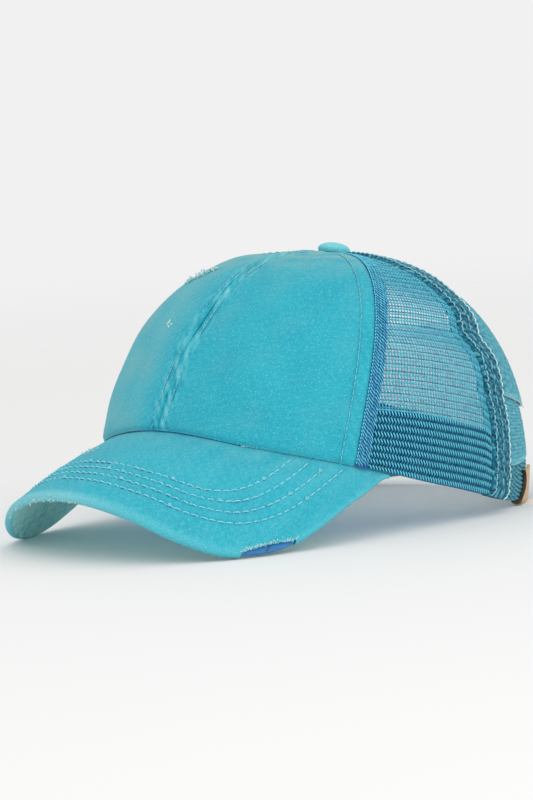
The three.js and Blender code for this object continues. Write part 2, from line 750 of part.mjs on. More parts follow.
// The nose-up tilt at which a straight edge touches the peak and the back of the crown together
function restTilt(cap) {
  const points = cap.children.flatMap((mesh) => {
    const { position } = mesh.geometry.attributes;
    return Array.from({ length: position.count }, (_, i) => (
      new THREE.Vector3().fromBufferAttribute(position, i)));
  });
  const front = points.filter((point) => point.y < -TOP_FORWARD);
  const rear = points.filter((point) => point.y > -TOP_FORWARD);
  let slope = 0;
  for (let round = 0; round < 4; round += 1) {
    const height = (point) => point.z - slope * point.y;
    const foot = front.reduce((low, point) => (height(point) < height(low) ? point : low));
    slope = Math.min(...rear.map((point) => (point.z - foot.z) / (point.y - foot.y)));
  }
  return Math.atan(slope);
}

// Tip the cap onto the ground and put the middle of its footprint at the origin
function standOnGround(cap) {
  cap.rotation.x = -restTilt(cap);
  cap.updateMatrixWorld(true);
  const box = new THREE.Box3().setFromObject(cap, true);
  const middle = box.getCenter(new THREE.Vector3());
  cap.position.set(-middle.x, -middle.y, -box.min.z);
  return cap;
}

export default standOnGround(buildCap());
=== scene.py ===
import json
import math
import bpy
import numpy as np
from mathutils import Matrix, Vector


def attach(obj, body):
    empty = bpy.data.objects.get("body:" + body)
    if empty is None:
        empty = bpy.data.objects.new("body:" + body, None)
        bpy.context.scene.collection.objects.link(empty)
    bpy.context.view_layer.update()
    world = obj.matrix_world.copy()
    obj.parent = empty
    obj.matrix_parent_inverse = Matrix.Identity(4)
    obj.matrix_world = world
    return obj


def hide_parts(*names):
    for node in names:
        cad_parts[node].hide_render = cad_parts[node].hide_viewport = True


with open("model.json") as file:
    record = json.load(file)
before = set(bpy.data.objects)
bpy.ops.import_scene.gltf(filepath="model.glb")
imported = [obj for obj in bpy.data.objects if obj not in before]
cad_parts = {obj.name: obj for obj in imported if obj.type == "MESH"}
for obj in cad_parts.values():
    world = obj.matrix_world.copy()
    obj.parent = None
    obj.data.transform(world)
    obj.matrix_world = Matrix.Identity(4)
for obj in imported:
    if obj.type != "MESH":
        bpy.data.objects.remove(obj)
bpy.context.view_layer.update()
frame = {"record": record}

# Front panels
# Two panels of cotton twill, dyed and then washed hard, so they are faded on every ridge. They are
# joined by a pressed seam down the forehead, topstitched on both sides, and sewn to the net at the side.

# Sizes are in millimetres. A place on the crown is an angle in degrees from the forehead towards the
# wearer's left, and a climb from 0 at the lower edge to 1 at the top.
CROWN_WIDTH = 170
CROWN_LENGTH = 191
CROWN_HEIGHT = 99
TOP_FORWARD = 1.7
FRONT_ARCH = 12
REAR_ARCH = 12
BASE_SQUARENESS = 2.24
FRONT_FULLNESS = 2.5
FRONT_STEEPNESS = 1.6
SIDE_FULLNESS = 2.77
REAR_FULLNESS = 1.73
FRONT_LEAN = 0.03
# Heights of the lower edge at angles from the forehead.
LOWER_EDGE = [(0, FRONT_ARCH), (30, 0.66 * FRONT_ARCH), (60, 0.36 * FRONT_ARCH), (90, 0),
              (115, -0.16 * REAR_ARCH), (145, 0.32 * REAR_ARCH), (180, REAR_ARCH)]
# The angles of the side seam at the lower edge, half way up and at the top.
SIDE_SEAM_ANGLES = (61.4, 66.6, 69.1)
GAP = 0.3
FRONT_WALL = 1.6
TOP_HOLE_RADIUS = 4

# The cap was drawn level and then tipped onto the ground. The record says where the level drawing is.
opening = frame["record"]["mounts"][0]
up = -Vector(opening["axis"]).normalized()
level = Matrix((Vector((1, 0, 0)), up.cross(Vector((1, 0, 0))), up)).transposed().to_4x4()
level = Matrix.Translation(Vector(opening["pos_m"])) @ level


def in_scene(points):
    """Points in millimetres on the level drawing, in metres as the cap stands."""
    turned = np.asarray(points, float) / 1000 @ np.array(level.to_3x3()).T
    return turned + np.array(level.translation)


def curve_through(rows):
    """A smooth curve through places and heights, level at both ends."""
    at, value = np.array(rows, float).T
    slope = np.zeros(len(at))
    run = np.diff(at)
    grade = np.diff(value) / run
    slope[1:-1] = (grade[:-1] * run[1:] + grade[1:] * run[:-1]) / (run[1:] + run[:-1])

    def height(x):
        i = np.clip(np.searchsorted(at, x) - 1, 0, len(at) - 2)
        t = np.clip((x - at[i]) / run[i], 0, 1)
        ease = t * t * (3 - 2 * t)
        bend = t * (1 - t) ** 2 * slope[i] - t * t * (1 - t) * slope[i + 1]
        return value[i] * (1 - ease) + value[i + 1] * ease + run[i] * bend
    return height


lower_edge_height = curve_through(LOWER_EDGE)


def edge_point(angle):
    """The lower edge of the crown at an angle."""
    turn = np.radians(angle)
    power = 2 / BASE_SQUARENESS
    x = CROWN_WIDTH / 2 * np.sign(np.sin(turn)) * np.abs(np.sin(turn)) ** power
    y = -CROWN_LENGTH / 2 * np.sign(np.cos(turn)) * np.abs(np.cos(turn)) ** power
    return x, y, lower_edge_height(np.degrees(np.arccos(np.cos(turn))))


def fullness(angle, front):
    """How boxy the crown is at an angle: 2 is round, and more is boxier."""
    facing = np.cos(np.radians(angle))
    ahead, behind = np.maximum(facing, 0) ** 2, np.maximum(-facing, 0) ** 2
    return front * ahead + SIDE_FULLNESS * (1 - ahead - behind) + REAR_FULLNESS * behind


def crown_point(angle, climb):
    """Points on the outside of the bare crown."""
    angle, climb = np.broadcast_arrays(np.asarray(angle, float), np.asarray(climb, float))
    x, y, z = edge_point(angle)
    quarter = climb * math.pi / 2
    spread = np.maximum(np.cos(quarter), 0) ** (2 / fullness(angle, FRONT_FULLNESS))
    rise = np.maximum(np.sin(quarter), 0) ** (2 / fullness(angle, FRONT_STEEPNESS))
    ahead = np.maximum(np.cos(np.radians(angle)), 0) ** 2
    lean = spread * (1 - FRONT_LEAN * ahead * np.sin(climb * math.pi))
    y = -TOP_FORWARD + (y + TOP_FORWARD) * lean
    return np.stack([x * lean, y, z + (CROWN_HEIGHT - z) * rise], -1)


def crown_normal(angle, climb):
    low = np.clip(climb - 0.01, 0, 0.98)
    high = np.clip(climb + 0.01, 0.02, 1)
    along = crown_point(angle + 1, climb) - crown_point(angle - 1, climb)
    outward = np.cross(along, crown_point(angle, high) - crown_point(angle, low))
    return outward / np.linalg.norm(outward, axis=-1, keepdims=True)


def on_crown(angle, climb, lift):
    """Points raised off the crown by a lift, or sunk into it where that is negative."""
    angle, climb, lift = np.broadcast_arrays(*(np.asarray(v, float) for v in (angle, climb, lift)))
    return crown_point(angle, climb) + crown_normal(angle, climb) * lift[..., None]


def degrees_for(distance, angle, climb):
    """How many degrees round the crown a distance takes."""
    span = crown_point(angle + 0.5, climb) - crown_point(angle - 0.5, climb)
    return distance / np.linalg.norm(span, axis=-1)


def climb_at_radius(radius):
    """The climb at which the crown has narrowed to a radius."""
    return 2 / math.pi * math.acos((radius / (CROWN_WIDTH / 2)) ** (SIDE_FULLNESS / 2))


def line_through(angles, climb):
    """A line up the crown through its angles at the lower edge, half way up and at the top."""
    low, middle, top = angles
    lower_half = low * (1 - climb) * (1 - 2 * climb) + middle * 4 * climb * (1 - climb)
    return lower_half + top * climb * (2 * climb - 1)


def side_seam_angle(climb):
    return line_through(SIDE_SEAM_ANGLES, climb)


TOP_CLIMB = climb_at_radius(TOP_HOLE_RADIUS)


def length_along(points):
    """The distance from the first point of each row of points."""
    steps = np.linalg.norm(np.diff(points, axis=-2), axis=-1)
    return np.concatenate([np.zeros(steps.shape[:-1] + (1,)), np.cumsum(steps, -1)], -1)


def across_panel(start, end, climb, columns):
    """Angles at millimetres from the first edge, or from the last where negative, and those distances."""
    angles, distances = [], []
    for a, b, c in zip(start, end, climb):
        fine = np.linspace(a, b, 65)
        reach = length_along(crown_point(fine, c))
        ease = min(1, reach[-1] / 45)
        at = np.where(columns < 0, reach[-1] + columns * ease, columns * ease)
        middle = np.flatnonzero(np.isnan(columns))
        before, after = at[middle[0] - 1], at[middle[-1] + 1]
        at[middle] = np.linspace(before, after, len(middle) + 2)[1:-1]
        angles.append(np.interp(at, reach, fine))
        distances.append(at)
    return np.array(angles), np.array(distances)


def crumple(a, b, size, seed, waves=14):
    """Smooth unevenness of about that size, from about -1 to 1."""
    random = np.random.default_rng(seed)
    total = 0
    for heading, stretch, phase in random.uniform(0, 1, (waves, 3)):
        turn, wave = heading * 2 * math.pi, size * (0.6 + stretch)
        total = total + np.sin((a * math.cos(turn) + b * math.sin(turn)) * 2 * math.pi / wave + 6.3 * phase)
    return total / math.sqrt(2 * waves)


def bell(distance, width):
    """A smooth bump that is 1 where the distance is 0 and fades out past the width."""
    return np.exp(-(distance / width) ** 2)


def show(name, points, faces, flat=None, wear_and_shade=0, sun_fade_and_painted_light=0, material=None, crease=50):
    """Makes the mesh piece: points in millimetres on the level drawing, faces of four corners, the place
    of each point on the flat cloth in millimetres, its dye from -1, where it is deep, to 1, where it is
    rubbed pale, and how far sunlight has paled it. On the net threads the first of these values is painted
    light and shade, and on the leather tab's cut edge it is partly painted shadow; under the peak the second
    is painted light, and inside the elastic bands it is partly painted light."""
    mesh = bpy.data.meshes.new(name)
    mesh.vertices.add(len(points))
    mesh.vertices.foreach_set("co", in_scene(points).astype(np.float32).ravel())
    mesh.loops.add(faces.size)
    mesh.loops.foreach_set("vertex_index", faces.astype(np.int32).ravel())
    mesh.polygons.add(len(faces))
    mesh.polygons.foreach_set("loop_start", np.arange(0, faces.size, 4, dtype=np.int32))
    mesh.update(calc_edges=True)
    mesh.polygons.foreach_set("use_smooth", np.ones(len(mesh.polygons), bool))
    mesh.set_sharp_from_angle(angle=math.radians(crease))
    if flat is not None:
        corners = flat[faces.ravel()].astype(np.float32)
        mesh.uv_layers.new(name="cloth").data.foreach_set("uv", corners.ravel())
    for label, value in (("wear_and_shade", wear_and_shade), ("sun_fade_and_painted_light", sun_fade_and_painted_light)):
        spread = np.broadcast_to(value, len(points)).astype(np.float32)
        mesh.attributes.new(label, "FLOAT", "POINT").data.foreach_set("value", spread)
    piece = bpy.data.objects.new(name, mesh)
    bpy.context.scene.collection.objects.link(piece)
    piece.data.materials.append(material)
    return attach(piece, "root")


def shell(name, outer, inner, flat, wear_and_shade, material, sun_fade_and_painted_light=0, hole=None, crease=50, lining=0):
    """A closed sheet of cloth between two grids of points, with walls round its edge and its holes."""
    rows, columns = outer.shape[:2]
    count = rows * columns
    at = np.arange(count).reshape(rows, columns)
    kept = np.ones((rows - 1, columns - 1), bool) if hole is None else ~hole
    face = np.stack([at[:-1, :-1], at[:-1, 1:], at[1:, 1:], at[1:, :-1]], -1)[kept]
    around = np.pad(kept, 1)
    walls = []
    for before, after, a, b in ((around[1:-1, :-1], around[1:-1, 1:], at[:-1], at[1:]),
                                (around[1:, 1:-1], around[:-1, 1:-1], at[:, :-1], at[:, 1:])):
        for start, end, edge in ((a, b, after & ~before), (b, a, before & ~after)):
            start, end = start[edge], end[edge]
            walls.append(np.stack([start, end, end + count, start + count], -1))
    faces = np.concatenate([face, face[:, ::-1] + count, *walls])
    points = np.concatenate([outer.reshape(-1, 3), inner.reshape(-1, 3)])
    a, b, c, d = (points[faces[:, k]] for k in range(4))
    if (a * (np.cross(b, c) + np.cross(c, d))).sum() < 0:
        faces = faces[:, ::-1]
    spread = [np.tile(np.broadcast_to(v, (rows, columns)).ravel(), 2).astype(float) for v in (wear_and_shade, sun_fade_and_painted_light)]
    spread[1][count:] += lining
    used, faces = np.unique(faces, return_inverse=True)
    flat = np.tile(flat.reshape(-1, 2), (2, 1))[used]
    wear_and_shade, sun_fade_and_painted_light = spread[0][used], spread[1][used]
    return show(name, points[used], faces.reshape(-1, 4), flat, wear_and_shade, sun_fade_and_painted_light, material, crease)


def threads(name, paths, radii, sides, material, wear_and_shade=0):
    """Round threads along rows of points, as one mesh, each closed at its ends."""
    paths = np.asarray(paths, float)
    count, stations = paths.shape[:2]
    run = np.gradient(paths, axis=1)
    run /= np.linalg.norm(run, axis=-1, keepdims=True) + 1e-12
    aside = np.cross(run, [0.31, 0.22, 0.92])
    aside /= np.linalg.norm(aside, axis=-1, keepdims=True) + 1e-12
    other = np.cross(run, aside)
    turn = np.arange(sides) * 2 * math.pi / sides
    radii = np.broadcast_to(radii, (count, stations))[..., None, None]
    ring = aside[:, :, None] * np.cos(turn)[:, None] + other[:, :, None] * np.sin(turn)[:, None]
    points = (paths[:, :, None] + ring * radii).reshape(-1, 3)
    at = np.arange(count * stations * sides).reshape(count, stations, sides)
    after = np.roll(at, -1, 2)
    walls = np.stack([at[:, :-1], after[:, :-1], after[:, 1:], at[:, 1:]], -1).reshape(-1, 4)
    ends = [np.stack([at[:, 0, 0], at[:, 0, k + 2], at[:, 0, k + 1], at[:, 0, k]], -1)
            for k in range(1, sides - 1, 2)]
    ends += [np.stack([at[:, -1, 0], at[:, -1, k], at[:, -1, k + 1], at[:, -1, k + 2]], -1)
             for k in range(1, sides - 1, 2)]
    spread = np.repeat(np.broadcast_to(wear_and_shade, count), stations * sides)
    return show(name, points, np.concatenate([walls, *ends]), None, spread, 0, material, 100)


def linear(colour):
    """An sRGB hex colour as linear red, green, blue and alpha."""
    parts = [int(colour[k:k + 2], 16) / 255 for k in (1, 3, 5)]
    return [p / 12.92 if p <= 0.04045 else ((p + 0.055) / 1.055) ** 2.4 for p in parts] + [1]


def add(tree, kind, settings, inputs):
    """Adds a node with its settings, and sets or links its sockets by name or number."""
    node = tree.nodes.new(kind)
    for name, value in settings.items():
        setattr(node, name, value)
    for socket, value in inputs.items():
        if isinstance(value, bpy.types.NodeSocket):
            tree.links.new(value, node.inputs[socket])
        else:
            node.inputs[socket].default_value = value
    return node


def new_material(name):
    """A material with its nodes and its shader."""
    material = bpy.data.materials.new(name)
    material.use_nodes = True
    tree = material.node_tree
    return material, tree, tree.nodes["Principled BSDF"]


# Millimetres between the ribs of a diagonal wave texture whose scale is 1.
DIAGONAL_WAVE = 0.444


def washed_cotton(name, deep, usual, faded, bleached_and_lit_colour="#a8c3bd", twill=0.9, slub=0.55, relief_depth=0.00028):
    """Cotton twill, piece dyed and stonewashed: matt and furry, with a fine diagonal rib and pale slubs,
    rubbed pale on its ridges and deep blue-green in its folds. The rib is 0.45 mm on the cap and is
    drawn at twice that to show."""
    material, tree, surface = new_material(name)
    place = add(tree, "ShaderNodeUVMap", {"uv_map": "cloth"}, {})
    rib = add(tree, "ShaderNodeTexWave", {"bands_direction": "DIAGONAL"},
              {"Vector": place.outputs[0], "Scale": DIAGONAL_WAVE / twill, "Distortion": 2.5,
               "Detail Scale": 2.0})
    fuzz = add(tree, "ShaderNodeTexNoise", {},
               {"Vector": place.outputs[0], "Scale": 1 / slub, "Detail": 3.0})
    slubs = add(tree, "ShaderNodeTexNoise", {},
                {"Vector": place.outputs[0], "Scale": 0.62 / slub, "Detail": 1.0})
    wash = add(tree, "ShaderNodeTexNoise", {}, {"Vector": place.outputs[0], "Scale": 1 / 22, "Detail": 6.0,
                                                 "Roughness": 0.7})
    wear_and_shade_input = add(tree, "ShaderNodeAttribute", {"attribute_name": "wear_and_shade"}, {})
    sun_fade_and_painted_light = add(tree, "ShaderNodeAttribute", {"attribute_name": "sun_fade_and_painted_light"}, {})
    cloudy = add(tree, "ShaderNodeMapRange", {}, {"Value": wash.outputs[0], "From Min": 0.3, "From Max": 0.7,
                                                   "To Min": 0.3, "To Max": -0.05})
    dyed = add(tree, "ShaderNodeMath", {"operation": "SUBTRACT", "use_clamp": True},
               {0: cloudy.outputs[0], 1: wear_and_shade_input.outputs["Fac"]})
    tint = add(tree, "ShaderNodeMix", {"data_type": "RGBA"},
               {"Factor": dyed.outputs[0], 6: linear(usual), 7: linear(deep)})
    patchy = add(tree, "ShaderNodeMath", {"operation": "MULTIPLY_ADD"}, {0: fuzz.outputs[0], 1: 1.2, 2: 0.0})
    rubbed = add(tree, "ShaderNodeMath", {"operation": "MULTIPLY", "use_clamp": True},
                 {0: wear_and_shade_input.outputs["Fac"], 1: patchy.outputs[0]})
    paler = add(tree, "ShaderNodeMix", {"data_type": "RGBA"},
                {"Factor": rubbed.outputs[0], 6: tint.outputs[2], 7: linear(faded)})
    # This mix pales the cloth towards its palest colour by the second value: sun fade on the front panels,
    # the button and the top of the peak, and painted light on the whole underside of the peak.
    sun_faded_and_lit = add(tree, "ShaderNodeMath", {"operation": "MULTIPLY", "use_clamp": True},
                 {0: sun_fade_and_painted_light.outputs["Fac"], 1: patchy.outputs[0]})
    dry = add(tree, "ShaderNodeMix", {"data_type": "RGBA"},
              {"Factor": sun_faded_and_lit.outputs[0], 6: paler.outputs[2], 7: linear(bleached_and_lit_colour)})
    speck = add(tree, "ShaderNodeMapRange", {}, {"Value": slubs.outputs[0], "From Min": 0.58, "From Max": 0.7,
                                                  "To Min": 0.0, "To Max": 0.32})
    specked = add(tree, "ShaderNodeMix", {"data_type": "RGBA"},
                  {"Factor": speck.outputs[0], 6: dry.outputs[2], 7: linear(faded)})
    fleck = add(tree, "ShaderNodeMapRange", {}, {"Value": fuzz.outputs[0], "From Min": 0.3, "From Max": 0.7,
                                                 "To Min": 0.84, "To Max": 1.12})
    flecked = add(tree, "ShaderNodeMix", {"data_type": "RGBA", "blend_type": "MULTIPLY"},
                  {"Factor": 1.0, 6: specked.outputs[2], 7: fleck.outputs[0]})
    tree.links.new(flecked.outputs[2], surface.inputs["Base Color"])
    grain = add(tree, "ShaderNodeMix", {"data_type": "FLOAT"},
                {0: 0.6, 2: rib.outputs["Fac"], 3: fuzz.outputs[0]})
    relief = add(tree, "ShaderNodeBump", {},
                 {"Strength": 0.6, "Distance": relief_depth, "Height": grain.outputs[0]})
    tree.links.new(relief.outputs[0], surface.inputs["Normal"])
    surface.inputs["Roughness"].default_value = 0.95
    surface.inputs["Specular IOR Level"].default_value = 0.12
    surface.inputs["Sheen Weight"].default_value = 0.12
    surface.inputs["Sheen Roughness"].default_value = 0.45
    surface.inputs["Sheen Tint"].default_value = linear("#f3d9c9")
    return material


def sewing_thread(name, colour, shade):
    """Spun polyester thread, two plies: slightly shiny, with a darker line where the plies meet."""
    material, tree, surface = new_material(name)
    place = add(tree, "ShaderNodeTexCoord", {}, {})
    ply = add(tree, "ShaderNodeTexNoise", {},
              {"Vector": place.outputs["Object"], "Scale": 1800.0, "Detail": 2.0})
    blend = add(tree, "ShaderNodeMapRange", {}, {"Value": ply.outputs[0], "From Min": 0.35, "From Max": 0.65})
    mixed = add(tree, "ShaderNodeMix", {"data_type": "RGBA"},
                {"Factor": blend.outputs[0], 6: linear(shade), 7: linear(colour)})
    tree.links.new(mixed.outputs[2], surface.inputs["Base Color"])
    surface.inputs["Roughness"].default_value = 0.6
    surface.inputs["Sheen Weight"].default_value = 0.2
    return material


def stitch_row(path, outward, length, space, thick, rise=0.12, seed=1):
    """The threads of a row of lockstitches on a line of points: each rises, runs and dives again."""
    reach = length_along(path)
    random = np.random.default_rng(seed)
    starts = np.arange(space, reach[-1] - length, length + space)
    starts = starts + random.uniform(-0.18, 0.18, len(starts))
    along = starts[:, None] + length * np.linspace(0, 1, 6) * random.uniform(0.88, 1.06, (len(starts), 1))
    hump = np.array([-0.9, 0.55, 1, 1, 0.55, -0.9]) * thick + rise
    points = np.stack([np.interp(along, reach, path[:, k]) for k in range(3)], -1)
    normal = np.stack([np.interp(along, reach, outward[:, k]) for k in range(3)], -1)
    return points + normal * hump[:, None]


def frayed(roots, heads, longest, seed):
    """Loose ends of yarn that start at the roots, head the given ways and curl over."""
    random = np.random.default_rng(seed)
    heads = np.asarray(heads, float) + random.normal(0, 0.45, np.shape(roots))
    heads /= np.linalg.norm(heads, axis=-1, keepdims=True)
    curl = random.normal(0, 0.5, np.shape(roots))
    length = longest * random.uniform(0.25, 1, len(roots))
    along = np.linspace(0, 1, 5)[None, :, None]
    return roots[:, None] + length[:, None, None] * (heads[:, None] * along + curl[:, None] * along ** 2)


FRONT_COTTON = washed_cotton("washed_cotton_twill", "#148ca6", "#33b2c5", "#90d4d9", "#93bfbb")
TOPSTITCH = sewing_thread("teal_sewing_thread", "#86d6e0", "#43a9be")
FRAYED_YARN = sewing_thread("frayed_cotton_yarn", "#d6f0ec", "#93d0d4")
FRONT_ROWS = 220
STITCHED_ROWS = 205
SEAM_RIDGE_PLACE = 1.9
SEAM_RIDGE = 0.5
SEAM_ALLOWANCE = 3.6
SIDE_TOPSTITCH = 7
STITCH_DENT = 0.28
STITCH_LENGTH = 2.6
STITCH_SPACE = 0.6
STITCH_THREAD = 0.22
CLOTH_WAVE = 0.45
CLOTH_WAVE_SIZE = 34
# The tears lie on the wearer's right, from one angle and climb to another.
TEAR_START = (-38.5, 0.575)
TEAR_END = (-26.5, 0.685)
TEAR_YARNS = 44
TEAR_YARN = 0.46
TEAR_YARN_LENGTH = 1.5
SMALL_TEAR = (-16, 0.412)
SMALL_TEAR_YARNS = 8

fine_edge = np.arange(0, 9.6, 0.6)
columns = np.concatenate([fine_edge, np.full(44, np.nan), -fine_edge[:0:-1], [-0.05]])
rows = np.linspace(0, TOP_CLIMB, FRONT_ROWS)
front_stitches = []
for side, name in ((1, "left"), (-1, "right")):
    angle, distance = across_panel(degrees_for(0.05, 0, rows), side_seam_angle(rows) - 0.1, rows, columns)
    climb = np.repeat(rows[:, None], len(columns), 1)
    run = length_along(np.swapaxes(crown_point(angle, climb), 0, 1)).T
    from_side = distance[:, -1:] - distance
    pucker = crumple(run * 0.8 + side * distance, distance * 0.7, 5.5, 11)
    centre = SEAM_RIDGE * bell(distance - SEAM_RIDGE_PLACE, 1.3) - 0.35 * bell(distance, 0.45)
    centre -= STITCH_DENT * bell(distance - SEAM_ALLOWANCE, 0.6)
    near_seam = bell(distance - 2.6, 3.4)
    centre += 0.15 * pucker * near_seam
    at_side = -0.3 * bell(from_side - SIDE_TOPSTITCH, 0.7)
    at_side += 0.16 * pucker * bell(from_side - SIDE_TOPSTITCH, 3)
    waves = CLOTH_WAVE * crumple(run, distance, CLOTH_WAVE_SIZE, 5 + side)
    lift = centre + at_side + waves * np.minimum(1, from_side / 12)
    lift -= 0.5 * bell(from_side, 1.2) + 0.9 * bell(run, 1.0) - 0.35 * bell(run - 4, 3.5)
    outer = on_crown(side * angle, climb, lift)
    inner = on_crown(side * angle, climb, -FRONT_WALL)
    flat = np.stack([side * distance, run], -1)
    wear_and_shade = 0.25 * bell(distance - SEAM_RIDGE_PLACE, 0.9) + 0.6 * pucker * near_seam - 0.08 * near_seam
    wear_and_shade += 0.4 * bell(distance - SEAM_ALLOWANCE + 0.5, 0.35) - 0.15 * bell(distance, 0.5)
    wear_and_shade += 0.3 * bell(distance - 5.2, 1.0) * np.clip(0.6 + crumple(run, distance, 9, 52), 0, 1)
    wear_and_shade += 0.1 * crumple(run, distance, 3, 51) - 0.2 * bell(from_side - SIDE_TOPSTITCH, 0.5)
    high = np.clip((climb - 0.6) / 0.25, 0, 1) * np.clip(0.65 + 0.5 * crumple(run, distance, 14, 8), 0, 1)
    sun_fade_and_painted_light = 0.9 * high + 0.1 * np.clip(crumple(run, distance, 24, 23), 0, 1)
    if side < 0:
        away = np.clip((distance - 7) / 16, 0, 1)
        sun_fade_and_painted_light = sun_fade_and_painted_light + away * (0.4 + 0.14 * crumple(run, distance, 26, 21))
    panel = shell(f"front_panel_{name}_cloth", outer, inner, flat, wear_and_shade, FRONT_COTTON, sun_fade_and_painted_light)
    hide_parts(f"front_panel_{name}")
    seam = np.array([np.interp(SEAM_ALLOWANCE, d, a) for d, a in zip(distance, angle)])
    edge = np.array([np.interp(d[-1] - SIDE_TOPSTITCH, d, a) for d, a in zip(distance, angle)])
    for line, depth in ((seam, -0.1), (edge, -0.14)):
        path, normal = on_crown(side * line, rows, depth), crown_normal(side * line, rows)
        path, normal = path[:STITCHED_ROWS], normal[:STITCHED_ROWS]
        stitches = stitch_row(path, normal, STITCH_LENGTH, STITCH_SPACE, STITCH_THREAD, seed=30 + side)
        front_stitches.append(stitches)
stitching = threads("front_topstitching", np.concatenate(front_stitches), STITCH_THREAD, 6, TOPSTITCH)
random = np.random.default_rng(90)
part = random.uniform(0, 1, TEAR_YARNS)
torn_angle = TEAR_START[0] + (TEAR_END[0] - TEAR_START[0]) * part + random.normal(0, 0.6, TEAR_YARNS)
torn_climb = TEAR_START[1] + (TEAR_END[1] - TEAR_START[1]) * part + random.normal(0, 0.006, TEAR_YARNS)
torn = on_crown(torn_angle, torn_climb, 0.2)
lengthways = on_crown(*TEAR_END, 0) - on_crown(*TEAR_START, 0)
lengthways = lengthways / np.linalg.norm(lengthways) * random.uniform(-1, 1, (TEAR_YARNS, 1))
heads = crown_normal(torn_angle, torn_climb) * random.uniform(0, 0.5, (TEAR_YARNS, 1)) + lengthways * 1.4
small_angle = SMALL_TEAR[0] + random.normal(0, 0.5, SMALL_TEAR_YARNS)
small_climb = SMALL_TEAR[1] + random.normal(0, 0.004, SMALL_TEAR_YARNS)
small_tear = on_crown(small_angle, small_climb, 0.15)
long_yarns = frayed(torn, heads, TEAR_YARN_LENGTH, 91)
short_yarns = frayed(small_tear, lengthways[:SMALL_TEAR_YARNS] + 0.1, 1.2, 92)
yarns = np.concatenate([long_yarns, short_yarns])
tear = threads("front_panel_tear_yarn", yarns, TEAR_YARN, 4, FRAYED_YARN)

# Net side panels
# Knitted polyester net: zigzag ribs up the panel, tied by rows of cross loops, with holes of under a
# millimetre. A folded strip lies over the front seam, and the back edge is doubled under the hem.

NET_WALL = 1.2
# The angles of the opening's edge at the lower edge, half way up and at the top.
OPENING_ANGLES = (112.6, 106.8, 105.8)
# Where the elastics pull that edge: climb, degrees, and how far the pull reaches below and above.
HEM_PULLS = ((0.4, 4.2, 0.045, 0.065), (0.205, 1, 0.04, 0.04))
NET_PITCH = 1.5
NET_ROW = 1.65
NET_FOLD_WIDTH = 5
NET_DOUBLED = 19
NET_OVER_BAND = 29
NET_RIB = 0.37
NET_LOOPS = (0.37, 0.31)
NET_BACK_THREAD = 0.46
SIDE_SEAM_LENGTH = 140
FOLD_THREAD = (0.22, 0.29, 0.22)
FOLD_STITCH_STEP = 1.55
# The lines of knit on the fold: how far back each begins, its width, half its length and its height.
FOLD_KNIT = ((-0.5, 0.1, 0.5, 0.42), (-0.1, 1.3, 0.85, 0.3), (1.3, 1.3, 0.85, 0.3),
             (2.7, 1.3, 0.85, 0.3), (4.1, 1.1, 0.85, 0.15))


def opening_angle(climb):
    """The edge of the back opening, drawn forward where the elastics pull it."""
    angle = line_through(OPENING_ANGLES, climb)
    for pulled_climb, pull, below, above in HEM_PULLS:
        spread = np.where(climb < pulled_climb, below, above)
        angle = angle - pull * np.exp(-((climb - pulled_climb) / spread) ** 2)
    return angle


def knitted_net(name, light, dark, gloss=0.5):
    """Bright polyester filament, knitted: smooth and slightly glossy. Each thread is mixed from the dark to
    the light colour by its own value, which on the net is painted light and shade: the loops sunk down
    between the ribs, and alternate rows, are painted darker.
    """
    material, tree, surface = new_material(name)
    wear_and_shade_input = add(tree, "ShaderNodeAttribute", {"attribute_name": "wear_and_shade"}, {})
    place = add(tree, "ShaderNodeTexCoord", {}, {})
    patch = add(tree, "ShaderNodeTexNoise", {},
                {"Vector": place.outputs["Object"], "Scale": 900.0, "Detail": 3.0})
    shade = add(tree, "ShaderNodeMath", {"operation": "MULTIPLY_ADD", "use_clamp": True},
                {0: patch.outputs[0], 1: 0.8, 2: wear_and_shade_input.outputs["Fac"]})
    mixed = add(tree, "ShaderNodeMix", {"data_type": "RGBA"},
                {"Factor": shade.outputs[0], 6: linear(dark), 7: linear(light)})
    tree.links.new(mixed.outputs[2], surface.inputs["Base Color"])
    surface.inputs["Roughness"].default_value = gloss
    surface.inputs["Specular IOR Level"].default_value = 0.3
    return material


def net_places():
    """Returns a function from millimetres across the net, from its middle, and up it to the crown."""
    climbs = np.linspace(0, TOP_CLIMB, 400)
    start, end = side_seam_angle(climbs), opening_angle(climbs)
    middle = (start + end) / 2
    up_middle = length_along(crown_point(middle, climbs))
    fine = np.linspace(-0.5, 0.5, 129)
    angles = middle[:, None] + fine * (end - start)[:, None]
    reach = length_along(crown_point(angles, climbs[:, None]))
    reach -= reach[:, 64:65]

    def place(u, v):
        row = np.clip(np.interp(v, up_middle, np.arange(len(climbs))), 0, len(climbs) - 1.001)
        at = np.empty(np.shape(u))
        for index in np.ndindex(at.shape):
            i, part = int(row[index]), row[index] % 1
            here = reach[i] * (1 - part) + reach[i + 1] * part
            there = angles[i] * (1 - part) + angles[i + 1] * part
            at[index] = np.interp(u[index], here, there)
        return at, np.interp(v, up_middle, climbs)

    def limits(v):
        row = np.interp(v, up_middle, np.arange(len(climbs))).astype(int)
        return reach[row, :1], reach[row, -1:]
    return place, limits, up_middle[-1]


